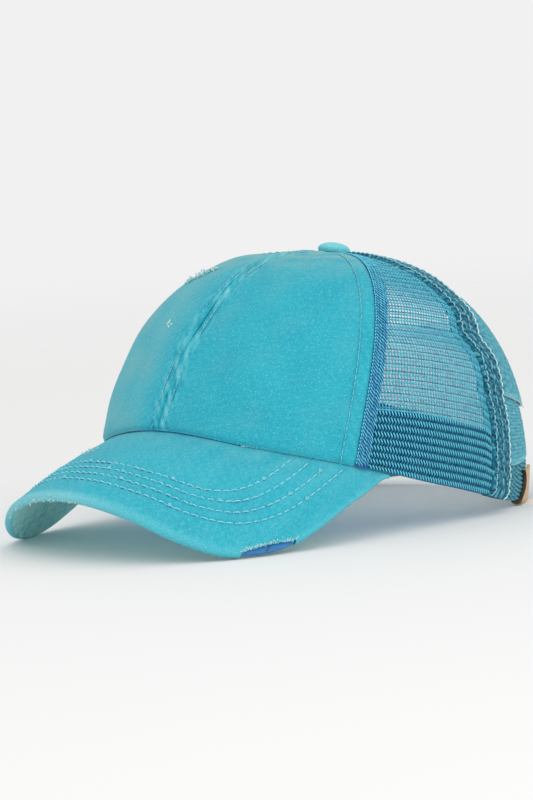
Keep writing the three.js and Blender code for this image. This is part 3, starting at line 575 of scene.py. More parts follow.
NET = knitted_net("knitted_polyester_net", "#68d4e8", "#0e668a")
NET_FOLD = knitted_net("folded_polyester_net", "#3a9fb8", "#064d8c")
place, limits, top = net_places()
v = np.arange(0.5, top - 1, NET_ROW)
v[1::2] += np.where(v[1::2] < NET_OVER_BAND, 0.62, 0.3)
u = np.arange(-79.5, 80, NET_PITCH)
low, high = limits(v)
row, column = np.meshgrid(np.arange(len(v)), np.arange(len(u)), indexing="ij")
over_band = np.clip((NET_OVER_BAND - v[row]) / 2, 0, 1)
across = u[column] + np.where(row % 2, -1, 1) * (0.2 + 0.36 * over_band)
inside = (across > low + NET_FOLD_WIDTH - 0.5) & (across < high - 1.6)
behind_fold = np.clip(across - (high - NET_DOUBLED), 0, None)
doubled = behind_fold > 0
climbing = v[row] - 0.24 * np.minimum(behind_fold, 12) * np.clip(v[row] / 20, 0, 1)
angle, climb = place(across, np.maximum(climbing, 0.1))
ridge = 0.45 * bell(across - (high - NET_DOUBLED), 1.1) * (1 - over_band)
ridge += 0.12 * crumple(across, v[row], 22, 33)
thicker = 0.12 * doubled * (1 - over_band)
spread = np.random.default_rng(34).uniform(-0.12, 0.12, angle.shape)
joined = inside[:-1] & inside[1:]
tied = inside[:, :-1] & inside[:, 1:]
for side, name in ((1, "left"), (-1, "right")):
    rib_at = on_crown(side * angle, climb, ridge - 0.62 + 0.17 * over_band)
    loop_at = on_crown(side * angle, climb, ridge - 0.45 - 0.6 * over_band)
    low_end, high_end = rib_at[:-1][joined], rib_at[1:][joined]
    outward = crown_normal(side * angle, climb)[:-1][joined]
    ribs = np.stack([low_end, (low_end + high_end) / 2 + outward * 0.16, high_end], 1)
    loops = np.stack([loop_at[:, :-1][tied], loop_at[:, 1:][tied]], 1)
    # Painted light and shade on the ribs: over the sweatband the ribs of alternate rows are painted lighter
    # and darker, and the small random spread is the net's own uneven tone.
    shade = (0.25 + over_band * np.where(row % 2, -0.55, 0.35) + spread)[:-1][joined]
    thick = (NET_RIB - 0.03 * over_band + thicker)[:-1][joined][:, None] * np.array([0.85, 1.0, 0.85])
    rib_mesh = threads(f"net_panel_{name}_ribs", ribs, thick, 4, NET, shade)
    # Painted shade on the loops: above the sweatband every other row is painted darker, as the line of shade
    # under each row of holes, and over the sweatband the loops, sunk between the ribs, are painted darker
    # still.
    painted_loop_shade = np.where(row % 2, 0.3, -0.1) * (1 - over_band) - 0.35 * over_band
    shade = (painted_loop_shade + spread)[:, :-1][tied]
    thick = (np.where(row % 2, *NET_LOOPS) - 0.04 * over_band + thicker)[:, :-1][tied]
    loop_mesh = threads(f"net_panel_{name}_loops", loops, thick[:, None], 4, NET, shade)
    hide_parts(f"net_panel_{name}")
    under = inside & doubled & (over_band < 0.5)
    behind = on_crown(side * angle, climb, ridge - 1.4)
    both = under[:-1] & under[1:]
    back_ribs = np.stack([behind[1:][both], behind[:-1][both]], 1)
    shifted = on_crown(side * (angle + degrees_for(NET_PITCH / 2, angle, climb)), climb, ridge - 1.4)
    back_loops = np.stack([shifted[:-1][both], shifted[1:][both]], 1)
    back_net = np.concatenate([back_ribs, back_loops])
    doubled_mesh = threads(f"net_panel_{name}_doubled_edge", back_net, NET_BACK_THREAD, 4, NET, -0.1)
    seam_rows = np.linspace(0, TOP_CLIMB * 0.985, 100)
    start = side_seam_angle(seam_rows)
    narrow = np.minimum(1, (opening_angle(seam_rows) - start) / degrees_for(1, start, seam_rows) / 20)
    flat_columns = np.linspace(-0.7, NET_FOLD_WIDTH, 10)
    line = start[:, None] + degrees_for(1, start, seam_rows)[:, None] * flat_columns * narrow[:, None]
    wavy = 0.1 * crumple(seam_rows[:, None] * SIDE_SEAM_LENGTH, flat_columns + 0 * line, 2.2, 44)
    strip_outer = on_crown(side * line, seam_rows[:, None], 0.15 + wavy)
    strip_inner = on_crown(side * line, seam_rows[:, None], -0.4)
    flat = np.stack([flat_columns + 0 * line, seam_rows[:, None] * SIDE_SEAM_LENGTH + 0 * line], -1)
    paler = 1.3 * np.clip((seam_rows[:, None] - 0.7) / 0.15, 0, 1) - 0.45
    strip = shell(f"net_panel_{name}_strip", strip_outer, strip_inner, flat, wavy + paler, NET_FOLD)
    reach = length_along(crown_point(start, seam_rows))
    knit, shades = [], []
    random = np.random.default_rng(45)
    for base, run_across, rise, height in FOLD_KNIT:
        steps = np.arange(1.2, reach[-1] - 1.2, FOLD_STITCH_STEP) + 0.5 * (base > 2)
        for step in steps:
            at = np.interp(step + np.array([rise, 0, -rise]), reach, seam_rows)
            aside = base + run_across * np.array([0, 0.5, 1]) + random.uniform(-0.12, 0.12)
            squeezed = np.interp(at, seam_rows, narrow)
            turned = side_seam_angle(at) + degrees_for(aside * squeezed, side_seam_angle(at), at)
            knit.append(on_crown(side * turned, at, height * np.array([0.6, 1, 0.6])))
            shades.append(0.35 + 0.5 * (base < -0.2) + random.uniform(-0.3, 0.3))
    fold = threads(f"net_panel_{name}_front_fold", knit, FOLD_THREAD, 6, NET, shades)

# Hems of the back opening
# The net and a cotton tape are folded round the edge of the opening and stitched down in three rows,
# so the hem is thick, crinkled between its rows of pale thread, and worn along its edge.

HEM_WIDTH = 14.5
HEM_WALL = 1.1
HEM_NOSE = 0.9
BUTTON_DIAMETER = 14.2
HEM_TOP_CLIMB = climb_at_radius(BUTTON_DIAMETER / 2 + 3 * GAP)
HEM_TAPE = washed_cotton("crinkled_hem_tape", "#0b4258", "#277a93", "#86cbd6", twill=1.1, slub=0.7)
HEM_THREAD = sewing_thread("pale_hem_thread", "#d9f5f6", "#9bdae3")
HEM_INNER_THREAD = sewing_thread("teal_hem_thread", "#a5e0ea", "#56b4c8")
OUTER_ROW = 2.0
INNER_ROW = 12.6
MIDDLE_ROW = 7.6
HEM_ROWS = 220
FACE_COLUMNS = 32
CRINKLE = 0.26
# The rows of stitching: place from the edge, thread radius, length of a stitch, space and thread.
HEM_STITCHING = (("outer", OUTER_ROW, 0.36, 3.4, 0.0, HEM_THREAD),
                 ("inner", INNER_ROW, 0.28, 2.6, 0.3, HEM_INNER_THREAD),
                 ("middle", MIDDLE_ROW, 0.2, 3.6, 1.6, HEM_INNER_THREAD))

OVER = GAP + HEM_WALL
UNDER = -NET_WALL - GAP - HEM_WALL
rows = np.linspace(0, HEM_TOP_CLIMB, HEM_ROWS)
face = np.linspace(HEM_WIDTH, HEM_NOSE, FACE_COLUMNS)
nose = np.linspace(0, math.pi, 11)
deep = (OVER - UNDER) / 2
outer_back = np.concatenate([face, HEM_NOSE - HEM_NOSE * np.sin(nose[1:-1]), face[::-1]])
rounded = OVER - deep + deep * np.cos(nose[1:-1])
outer_lift = np.concatenate([np.full(FACE_COLUMNS, OVER), rounded, np.full(FACE_COLUMNS, UNDER)])
inner_back = np.concatenate([face, np.full(len(nose) - 2, 1.2), face[::-1]])
turned_down = GAP - 0.8 * np.clip((face - HEM_WIDTH + 2) / 1.5, 0, 1)
straight_down = np.linspace(GAP, -NET_WALL - GAP, len(nose))[1:-1]
inner_lift = np.concatenate([turned_down, straight_down, np.full(FACE_COLUMNS, -NET_WALL - GAP)])
for side, name in ((1, "left"), (-1, "right")):
    edge = opening_angle(rows)
    reach = length_along(crown_point(edge, rows))
    wavering = 0.7 * crumple(reach, 0 * reach, 24, 46 + side) * np.clip((reach[-1] - reach) / 30, 0, 1)
    wavering -= 3.0 * np.clip(1 - reach / 3.5, 0, 1) ** 2
    edge = edge + degrees_for(wavering, edge, rows)
    net_width = (edge - side_seam_angle(rows)) / degrees_for(1, edge, rows)
    narrow = np.minimum(1, net_width / 2 / HEM_WIDTH)[:, None]
    climb = np.repeat(rows[:, None], len(outer_back), 1)
    run = reach[:, None] + 0 * climb
    back = outer_back[None] + 0 * climb
    shown = outer_lift > GAP
    crinkle = crumple(run, back, 1.9, 40 + side) + 0.6 * crumple(run * 0.7, back, 3.6, 42 + side)
    crinkle = crinkle * np.clip((back - 1.0) / 1.5, 0, 1) * shown
    thinning = (OVER + 0.25) * np.clip((back - HEM_WIDTH + 1.8) / 1.8, 0, 1) ** 1.5 * shown
    dips = bell(back - INNER_ROW, 0.6) + bell(back - OUTER_ROW, 0.5)
    outer = on_crown(side * (edge[:, None] - degrees_for(back * narrow, edge[:, None], climb)), climb,
                     outer_lift + CRINKLE * crinkle - 0.3 * dips * shown - thinning)
    turn = edge[:, None] - degrees_for(inner_back * narrow, edge[:, None], climb)
    inner = on_crown(side * turn, climb, inner_lift + 0 * climb)
    wear_and_shade = 0.85 * crinkle - 0.2 - 0.5 * dips * shown + 0.4 * bell(back, 0.9)
    flat = np.stack([outer_back - 2 * (outer_lift < 0) * outer_back + 0 * climb, run], -1)
    hem = shell(f"back_hem_{name}_tape", outer, inner, flat, wear_and_shade, HEM_TAPE)
    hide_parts(f"back_hem_{name}")
    for label, back, thick, length, space, thread in HEM_STITCHING:
        swing = back + 0.4 * crumple(reach, 0 * reach, 5, 47 + int(back))
        line = edge - degrees_for(swing * narrow[:, 0], edge, rows)
        path, normal = on_crown(side * line, rows, OVER - 0.12), crown_normal(side * line, rows)
        row = stitch_row(path, normal, length, space, thick, seed=3 + side + int(back))
        stitching = threads(f"back_hem_{name}_{label}_stitching", row, thick, 6, thread)

# Sweatband
# A folded strip of plain blue cotton, sewn inside the lower edge from one hem to the other. Through
# the net it makes the lower part of the panel look darker.

SWEATBAND_HEIGHT = 29
SWEATBAND_WALL = 1.5
SWEATBAND_COTTON = washed_cotton("plain_blue_cotton", "#06397e", "#0a4c9c", "#2678b8", twill=0.8)


def climb_at_height(angle, height):
    """The climb at a height above the lower edge."""
    share = np.maximum(height, 0) / (CROWN_HEIGHT - edge_point(angle)[2])
    return 2 / math.pi * np.arcsin(share ** (fullness(angle, FRONT_STEEPNESS) / 2))


def on_wall(angle, height, lift):
    """Points at a height above the lower edge, or below it where that is negative."""
    angle, height, lift = np.broadcast_arrays(*(np.asarray(v, float) for v in (angle, height, lift)))
    points = on_crown(angle, climb_at_height(angle, height), lift)
    points[..., 2] += np.minimum(height, 0)
    return points


heights = np.linspace(0.5, SWEATBAND_HEIGHT, 16)
turns = np.linspace(-1, 1, 200)
climb = climb_at_height(OPENING_ANGLES[0], heights)
ends = opening_angle(climb)
ends = ends - degrees_for(HEM_WIDTH + 2 * GAP, ends, climb)
angle = turns[:, None] * ends
height = np.repeat(heights[None], len(turns), 0)
outer_lift = -(FRONT_WALL + GAP)
soft = 0.25 * crumple(angle * 1.5, height, 16, 61)
band_outer = on_wall(angle, height, outer_lift)
band_inner = on_wall(angle, height, outer_lift - SWEATBAND_WALL + np.minimum(soft, 0.2))
flat = np.stack([angle * 1.5, height], -1)
wear_and_shade = 0.15 + 0.2 * bell(height - SWEATBAND_HEIGHT, 1.5)
sweatband = shell("sweatband_cloth", band_outer, band_inner, flat, wear_and_shade, SWEATBAND_COTTON)
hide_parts("sweatband")

# Peak board
# A stiff board of blue plastic inside the peak, which shows only where the cover is worn through at
# the rim.

PEAK_LENGTH = 53
PEAK_WRAP = 97
PEAK_CORNER_RUN = 18.4
PEAK_SEAM_ANGLE = 71.4
PEAK_DROP = 39
PEAK_SQUARENESS = 2.22
PEAK_CAMBER = 2.6
PEAK_THICKNESS = 4
PEAK_TIP_THICKNESS = 1.2
PEAK_TIP_DROP = 1.5
PEAK_RIM_RISE = 0.3
COVER_WALL = 1
TAPER_START = 0.8
BOARD_END = 0.93
# How much of the drop the rim has at degrees round it.
RIM_EDGE = [(0, 0.555), (25, 0.705), (40, 0.895), (55, 1), (70, 0.88), (90, 0.25)]

corner_x, corner_y, corner_z = edge_point(PEAK_SEAM_ANGLE)
rim_half_width = corner_x / math.sin(math.radians(PEAK_WRAP))
rim_widest = corner_y - PEAK_CORNER_RUN
rim_reach = rim_widest + CROWN_LENGTH / 2 + PEAK_LENGTH
rim_drops = [(angle, -drop * PEAK_DROP) for angle, drop in RIM_EDGE]
rim_height = curve_through(rim_drops + [(PEAK_WRAP, corner_z - PEAK_TIP_DROP)])


def rim_point(along):
    """The rim of the peak, from -1 at the right corner to 1 at the left."""
    angle = np.abs(along) * PEAK_WRAP
    ahead = np.cos(np.radians(angle))
    power = np.where(ahead > 0, 2 / PEAK_SQUARENESS, 1)
    x = np.sign(along) * rim_half_width * np.abs(np.sin(np.radians(angle))) ** power
    behind = rim_widest + PEAK_CORNER_RUN * ahead / math.cos(math.radians(PEAK_WRAP))
    y = np.where(ahead > 0, rim_widest - rim_reach * np.maximum(ahead, 0) ** power, behind)
    return np.stack([x, y, rim_height(angle)], -1)


def peak_seam(along):
    """Where the peak is sewn to the front of the crown."""
    points = on_crown(along * PEAK_SEAM_ANGLE, 0, -FRONT_WALL)
    points[..., 2] -= GAP
    return points


def peak_thickness(along):
    taper = np.maximum((np.abs(along) - TAPER_START) / (1 - TAPER_START), 0)
    return PEAK_THICKNESS + (PEAK_TIP_THICKNESS - PEAK_THICKNESS) * taper ** 3


def peak_surface(across, along):
    """Points on the top of the peak, from the crown at 0 to the rim at 1, and the way out to the rim."""
    seam, rim = peak_seam(along), rim_point(along)
    outward = rim - seam
    outward /= np.linalg.norm(outward, axis=-1, keepdims=True)
    rim = rim - outward * peak_thickness(along)[..., None] / 2
    points = seam + (rim - seam) * across[..., None]
    points[..., 2] += PEAK_CAMBER * np.sin(math.pi * across) * (1 - along ** 4)
    return points, outward


def peak_normal(across, along):
    out = peak_surface(across + 0.01, along)[0] - peak_surface(across - 0.01, along)[0]
    low, high = np.maximum(along - 0.01, -1), np.minimum(along + 0.01, 1)
    normal = np.cross(out, peak_surface(across, high)[0] - peak_surface(across, low)[0])
    return normal / np.linalg.norm(normal, axis=-1, keepdims=True)


def on_peak(across, along, depth):
    """Points at a depth below the top of the peak."""
    across, along, depth = np.broadcast_arrays(*(np.asarray(v, float) for v in (across, along, depth)))
    lift = across * peak_thickness(along) * PEAK_RIM_RISE - depth
    return peak_surface(across, along)[0] + peak_normal(across, along) * lift[..., None]


def peak_section(along, top_depth, bottom_depth, start, columns, rim_steps):
    """Points of a layer of the peak from the crown over its top to the rim and back underneath."""
    across = np.linspace(start, 1, columns)
    top = on_peak(across[None], along[:, None], top_depth)
    bottom = on_peak(across[None], along[:, None], bottom_depth)
    outward = peak_surface(np.ones_like(along), along)[1]
    centre = (top[:, -1] + bottom[:, -1]) / 2
    above = top[:, -1] - centre
    radius = np.linalg.norm(above, axis=-1, keepdims=True)
    turn = np.linspace(0, math.pi, rim_steps + 2)[1:-1]
    rim = centre[:, None] + above[:, None] * np.cos(turn)[:, None]
    rim += (radius * outward)[:, None] * np.sin(turn)[:, None]
    return np.concatenate([top, rim, bottom[:, ::-1]], 1)


def board_plastic():
    """Extruded polyethylene sheet: smooth and waxy, slightly clouded where it has been bent."""
    material, tree, surface = new_material("blue_polyethylene_board")
    place = add(tree, "ShaderNodeTexCoord", {}, {})
    cloud = add(tree, "ShaderNodeTexNoise", {},
                {"Vector": place.outputs["Object"], "Scale": 240.0, "Detail": 4.0})
    mixed = add(tree, "ShaderNodeMix", {"data_type": "RGBA"},
                {"Factor": cloud.outputs[0], 6: linear("#155e9e"), 7: linear("#3189cb")})
    tree.links.new(mixed.outputs[2], surface.inputs["Base Color"])
    surface.inputs["Roughness"].default_value = 0.45
    return material


along = np.linspace(-BOARD_END, BOARD_END, 160)
depth = COVER_WALL + GAP
section = peak_section(along, depth, (peak_thickness(along) - depth)[:, None], 0.02, 14, 7)
half = section.shape[1] // 2
section = np.delete(section, half, 1) if section.shape[1] % 2 else section
top, bottom = section[:, :section.shape[1] // 2], section[:, :section.shape[1] // 2 - 1:-1]
flat = np.stack([top[..., 0], top[..., 1]], -1)
board = shell("peak_board_plastic", top, bottom, flat, np.zeros(top.shape[:2]), board_plastic())
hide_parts("peak_board")

# Peak cover
# One layer of the washed cotton above the board and one below, turned at the rim, with four rows of
# pale topstitching through all. The rim has rubbed through to the board at the left of the front.

# The worn slot and the frayed rim lie between these shares of the way to the left corner of the peak,
# or to the right one where they are negative.
SLOT = (0.59, 0.76)
SLOT_DEPTH = 2.6
# Each row's distance from the rim, where along it ends at the crown, and how sharply it turns there.
STITCH_ROWS = ((11.9, 0.83, 5.5), (16.7, 0.757, 6.1), (21.5, 0.683, 6.7), (26.2, 0.61, 7.3))
FRAYED_RIM = (-0.32, 0.09)
# Its palest colour is sun fade on the far side of the top of the peak, and painted light on the whole
# underside.
PEAK_COTTON = washed_cotton("washed_peak_cotton", "#148ca6", "#33b4c7", "#92d6db", "#b4e8dc")
PEAK_THREAD = sewing_thread("pale_peak_thread", "#9ae6f2", "#55bfd6")
DARK_YARN = sewing_thread("dark_teal_yarn", "#1b5a70", "#0d3a4c")
PEAK_STITCH_LENGTH = 3.2
PEAK_STITCH_SPACE = 0.55
PEAK_STITCH_THREAD = 0.34
KNOTS_IN_ROW = 4
KNOT_RADIUS = 0.62
SLOT_YARNS = 130
RIM_YARNS = 80
TUFT_YARNS = 26
TUFT_ALONG = (-0.19, -0.15)
TUFT_FROM_RIM = (36, 40)


def peak_width(along):
    """How far it is from the seam to the rim."""
    return np.linalg.norm(rim_point(along) - peak_seam(along), axis=-1)


def stitch_distance(along, base, end, bend):
    """How far a row is from the rim: it follows the rim and then turns up to the crown near a corner."""
    full = peak_width(np.array([end]))[0]
    return base + (full - base) * (np.abs(along) / end) ** bend


PEAK_ROWS = 321
TOP_COLUMNS = 104
RIM_STEPS = 11
UNDER_STEP = 3

along = np.linspace(-1, 1, PEAK_ROWS)
width = peak_width(along)


def cover_grid(top_depth, extra):
    """One face of the cover, at a depth below the top of the peak, with its relief."""
    bottom_depth = (peak_thickness(along) - top_depth)[:, None]
    section = peak_section(along, top_depth, bottom_depth, 0, TOP_COLUMNS, RIM_STEPS)
    normal = np.zeros_like(section)
    across = np.broadcast_to(np.linspace(0, 1, TOP_COLUMNS), (len(along), TOP_COLUMNS))
    normal[:, :TOP_COLUMNS] = peak_normal(across, np.repeat(along[:, None], TOP_COLUMNS, 1))
    normal[:, -TOP_COLUMNS:] = -normal[:, TOP_COLUMNS - 1::-1]
    return section + normal * extra[..., None]


from_rim = (1 - np.linspace(0, 1, TOP_COLUMNS)) * width[:, None]
groove = sum(bell(from_rim - stitch_distance(along, *row)[:, None], 0.8) for row in STITCH_ROWS)
run = length_along(rim_point(along))[:, None] + 0 * from_rim
pucker = crumple(run, from_rim, 6, 71)
quilted = -0.34 * groove + 0.16 * pucker * bell(from_rim - 21, 10) + 0.2 * crumple(run, from_rim, 25, 72)
quilted *= np.clip(from_rim / 3, 0, 1) * np.clip((width[:, None] - from_rim) / 3, 0.2, 1)
relief = np.zeros((len(along), 2 * TOP_COLUMNS + RIM_STEPS))
relief[:, :TOP_COLUMNS] = quilted
relief[:, -TOP_COLUMNS:] = 0.6 * quilted[:, ::-1]
rough = 0.35 * crumple(run, from_rim, 2.2, 84) * bell((along[:, None] - sum(FRAYED_RIM) / 2) / 0.24, 1)
relief[:, :TOP_COLUMNS] += rough * bell(from_rim, 2.5)
relief[:, -TOP_COLUMNS:] += (rough * bell(from_rim, 6))[:, ::-1]
streaks = crumple(run * 0.25, from_rim, 1.7, 86)[:, ::-1]
relief[:, -TOP_COLUMNS:] += 0.1 * streaks
outer = cover_grid(0, relief)
inner = cover_grid(COVER_WALL, relief * 0)
wear_and_shade, sun_fade_and_painted_light = np.zeros(relief.shape), np.zeros(relief.shape)
wear_and_shade[:, :TOP_COLUMNS] = 0.25 * bell(from_rim, 2.5) - 0.35 * groove + 0.12 * crumple(run, from_rim, 3, 74)
torn_here = np.clip(bell((along - sum(FRAYED_RIM) / 2) / 0.26, 1) * 1.4, 0, 1)[:, None]
wear_and_shade[:, TOP_COLUMNS:-TOP_COLUMNS] = 0.3 + 0.7 * torn_here
wear_and_shade[:, :TOP_COLUMNS] += 0.6 * torn_here * bell(from_rim, 2.2)
wear_and_shade[:, -TOP_COLUMNS:] = 0.35
far_side = np.clip((-along[:, None] - 0.15) / 0.5, 0, 1)
cloudy = np.clip(0.6 + 0.5 * crumple(run, from_rim, 18, 73), 0, 1)
sun_fade_and_painted_light[:, :TOP_COLUMNS] = cloudy * (0.06 + 1.0 * far_side + 0.12 * bell(width[:, None] - from_rim, 14))
# Painted light: the whole underside is painted with the palest colour, standing for the light thrown up under
# the peak from the floor; the streaks along the rim are the cloth's own.
sun_fade_and_painted_light[:, -TOP_COLUMNS:] = np.clip(1.0 + 0.5 * streaks, 0.3, 1.5)
wear_and_shade[:, -TOP_COLUMNS:] += 0.4 * streaks
share = (along - SLOT[0]) / (SLOT[1] - SLOT[0])
bite = np.where((share > 0) & (share < 1), np.sin(np.clip(share, 0, 1) * math.pi), 0)
ragged = np.random.default_rng(75).uniform(-0.45, 0.45, len(along) - 1)
depth = (SLOT_DEPTH + 0.7) * bite[:-1, None] + ragged[:, None] * (bite[:-1, None] > 0)
hole = np.zeros((len(along) - 1, relief.shape[1] - 1), bool)
hole[:, :TOP_COLUMNS - 1] = from_rim[:-1, :-1] < depth
hole[:, TOP_COLUMNS - 1:-TOP_COLUMNS + 1] = bite[:-1, None] > 0.15
hole[:, -TOP_COLUMNS + 1:] = from_rim[:-1, :-1][:, ::-1] < depth - 0.8
rim_flat = np.linspace(-0.3, -6, RIM_STEPS) + 0 * run[:, :1]
rows_flat = np.concatenate([from_rim, rim_flat, -6.3 - from_rim[:, ::-1]], 1)
flat = np.stack([np.repeat(run[:, :1], relief.shape[1], 1), rows_flat], -1)
above = TOP_COLUMNS + RIM_STEPS
coarse = np.concatenate([np.arange(above), np.arange(above, relief.shape[1], UNDER_STEP)])
coarse[-1] = relief.shape[1] - 1
outer, inner, flat, wear_and_shade, sun_fade_and_painted_light = (grid[:, coarse] for grid in (outer, inner, flat, wear_and_shade, sun_fade_and_painted_light))
cover = shell("peak_cover_cloth", outer, inner, flat, wear_and_shade, PEAK_COTTON, sun_fade_and_painted_light, hole[:, coarse[:-1]])
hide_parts("peak_cover")
peak_stitches, knots = [], []
for k, sewn in enumerate(STITCH_ROWS):
    d = stitch_distance(along, *sewn)
    keep = d < width - 0.5
    across, line = 1 - d[keep] / width[keep], along[keep]
    path, normal = on_peak(across, line, 0.3), peak_normal(across, line)
    row = stitch_row(path, normal, PEAK_STITCH_LENGTH, PEAK_STITCH_SPACE, PEAK_STITCH_THREAD, 0.1, 80 + k)
    peak_stitches.append(row)
    around = np.linspace(0, 2 * math.pi, 6)[:, None]
    for i in np.random.default_rng(85 + k).choice(len(row), KNOTS_IN_ROW, replace=False):
        ahead = row[i, 3] - row[i, 2]
        ahead /= np.linalg.norm(ahead)
        up = normal[np.abs(path - row[i, 2]).sum(1).argmin()]
        circle = ahead * np.cos(around) + np.cross(up, ahead) * np.sin(around)
        knots.append(row[i, 2] + up * 0.3 + KNOT_RADIUS * circle)
sewn_threads = np.concatenate([*peak_stitches, knots])
peak_stitching = threads("peak_topstitching", sewn_threads, PEAK_STITCH_THREAD, 6, PEAK_THREAD)
random = np.random.default_rng(76)
spots = random.uniform(0.02, 0.98, SLOT_YARNS)
line = SLOT[0] + (SLOT[1] - SLOT[0]) * spots
edge = (SLOT_DEPTH + 0.7) * np.sin(spots * math.pi) + random.uniform(-0.1, 0.7, SLOT_YARNS)
root = on_peak(1 - edge / peak_width(line), line, 0.1)
heads = peak_surface(np.ones_like(line), line)[1] * random.uniform(-0.6, 0.7, (SLOT_YARNS, 1))
heads += peak_normal(1 - edge / peak_width(line), line) * 0.3
worn_edge = frayed(root, heads, 0.9, 77)
line = random.uniform(*FRAYED_RIM, RIM_YARNS)
rim, outward = rim_point(line), peak_surface(np.ones_like(line), line)[1]
under_rim = -peak_normal(np.ones_like(line), line)
root = rim + under_rim * random.uniform(0.2, 1.6, (RIM_YARNS, 1))
torn_rim = frayed(root, under_rim * 0.8 + outward * random.uniform(-0.6, 0.3, (RIM_YARNS, 1)), 1.4, 78)
patch = random.uniform(*TUFT_ALONG, TUFT_YARNS)
tuft = random.uniform(*TUFT_FROM_RIM, TUFT_YARNS)
root = on_peak(1 - tuft / peak_width(patch), patch, 0)
heads = peak_normal(1 - tuft / peak_width(patch), patch) * 0.6 + random.normal(0, 0.6, (TUFT_YARNS, 3))
tufts = frayed(root, heads, 1.6, 79)
frays = threads("peak_cover_frayed_yarn", np.concatenate([worn_edge, torn_rim, tufts]), 0.2, 4, FRAYED_YARN)
root = on_peak(np.full(2, 0.93), np.array([0.684, -0.8]), 0)
hanging = frayed(root, [[0.5, -0.5, -0.4], [0, 0.5, -1]], 4.5, 83)
loose_ends = threads("peak_cover_loose_ends", hanging, 0.17, 4, DARK_YARN)

# Crossing elastics
# Two bands of soft ribbed elastic that cross behind the head. Each is sewn inside one hem high up and
# inside the other low down, and its ribs run along it.

BAND_WIDTH = 48
BAND_WALL = 1.2
BAND_HIGH_CLIMB = 0.42
BAND_LOW_CLIMB = 0.245
BAND_LOW_EASE = 1.6
BAND_HIGH_EASE = 1.15
BAND_STAND_OUT = 0.6
BAND_CUP = 1.4
BAND_RISE = 0.05
BAND_DROP = 0.03
TUCK = 10
HEM_CLEAR = 0.6
HALF_RAISED = 2.5
FULLY_RAISED = 5
TUCKED_LIFT = -(NET_WALL + 2 * GAP + HEM_WALL)
RIB_PITCH = 1.15
RIB_RELIEF = 0.12
BAND_ROWS = 153
BAND_STATIONS = 110
FLUFF_YARNS = 110
FLUFF_LENGTH = 0.9
FLUFF_YARN = 0.12


def ribbed_elastic(name, ridge, valley, inside):
    """Knitted elastic: cotton-like ribs over rubber cords, darker between them and undyed inside; the
    near-white inside of the bands is also painted light, standing for the light seen through the net holes in
    front of it.
    """
    material, tree, surface = new_material(name)
    wear_and_shade_input = add(tree, "ShaderNodeAttribute", {"attribute_name": "wear_and_shade"}, {})
    place = add(tree, "ShaderNodeUVMap", {"uv_map": "cloth"}, {})
    knit = add(tree, "ShaderNodeTexNoise", {}, {"Vector": place.outputs[0], "Scale": 1.6, "Detail": 4.0})
    shade = add(tree, "ShaderNodeMath", {"operation": "MULTIPLY_ADD", "use_clamp": True},
                {0: knit.outputs[0], 1: 0.5, 2: wear_and_shade_input.outputs["Fac"]})
    mixed = add(tree, "ShaderNodeMix", {"data_type": "RGBA"},
                {"Factor": shade.outputs[0], 6: linear(valley), 7: linear(ridge)})
    lining = add(tree, "ShaderNodeAttribute", {"attribute_name": "sun_fade_and_painted_light"}, {})
    turned = add(tree, "ShaderNodeMix", {"data_type": "RGBA"},
                 {"Factor": lining.outputs["Fac"], 6: mixed.outputs[2], 7: linear(inside)})
    tree.links.new(turned.outputs[2], surface.inputs["Base Color"])
    relief = add(tree, "ShaderNodeBump", {}, {"Strength": 0.4, "Distance": 0.0003, "Height": knit.outputs[0]})
    tree.links.new(relief.outputs[0], surface.inputs["Normal"])
    surface.inputs["Roughness"].default_value = 0.85
    surface.inputs["Specular IOR Level"].default_value = 0.15
    surface.inputs["Subsurface Weight"].default_value = 0.5
    surface.inputs["Subsurface Radius"].default_value = (1, 1, 1)
    surface.inputs["Subsurface Scale"].default_value = 0.0016
    return material


def across_the_back(left, right, left_climb, right_climb, stations):
    """Angles from inside the left hem to inside the right one, and how far the elastic is raised there."""
    out = np.array([-TUCK, HEM_CLEAR, HALF_RAISED])
    start = left + degrees_for(FULLY_RAISED, left, left_climb)
    end = 360 - right - degrees_for(FULLY_RAISED, right, right_climb)
    left_end = left + degrees_for(1.0, left, left_climb) * out
    right_end = 360 - right - degrees_for(1.0, right, right_climb) * out
    coarse = np.concatenate([left_end, np.linspace(start, end, 23), right_end[::-1]])
    raised = np.concatenate([[0, 0, 0.6], np.ones(23), [0.6, 0, 0]])
    fine = np.interp(np.linspace(0, len(coarse) - 1, stations), np.arange(len(coarse)), coarse)
    return fine, np.interp(fine, coarse, raised)


def half_width_climb(angle, climb, slope):
    """Half the width of a band, as a climb, where it runs at a slope."""
    run = crown_point(angle + 1, climb + slope) - crown_point(angle - 1, climb - slope)
    run /= np.linalg.norm(run, axis=-1, keepdims=True)
    rise = (crown_point(angle, climb + 0.01) - crown_point(angle, climb - 0.01)) / 0.02
    sideways = rise - run * (rise * run).sum(-1, keepdims=True)
    return BAND_WIDTH / 2 / np.linalg.norm(sideways, axis=-1)


def band_middle(across, left_climb, right_climb):
    """The climb of the middle of a band, from 0 at the left hem to 1 at the right."""
    from_low = np.clip(1 - across if left_climb > right_climb else across, 0, 1)
    low_half = 0.5 * (2 * from_low) ** BAND_LOW_EASE
    high_half = 1 - 0.5 * (2 - 2 * from_low) ** BAND_HIGH_EASE
    low = min(left_climb, right_climb)
    rise = BAND_RISE * (4 * from_low * (1 - from_low)) ** 2
    return low + abs(left_climb - right_climb) * np.where(from_low < 0.5, low_half, high_half) + rise


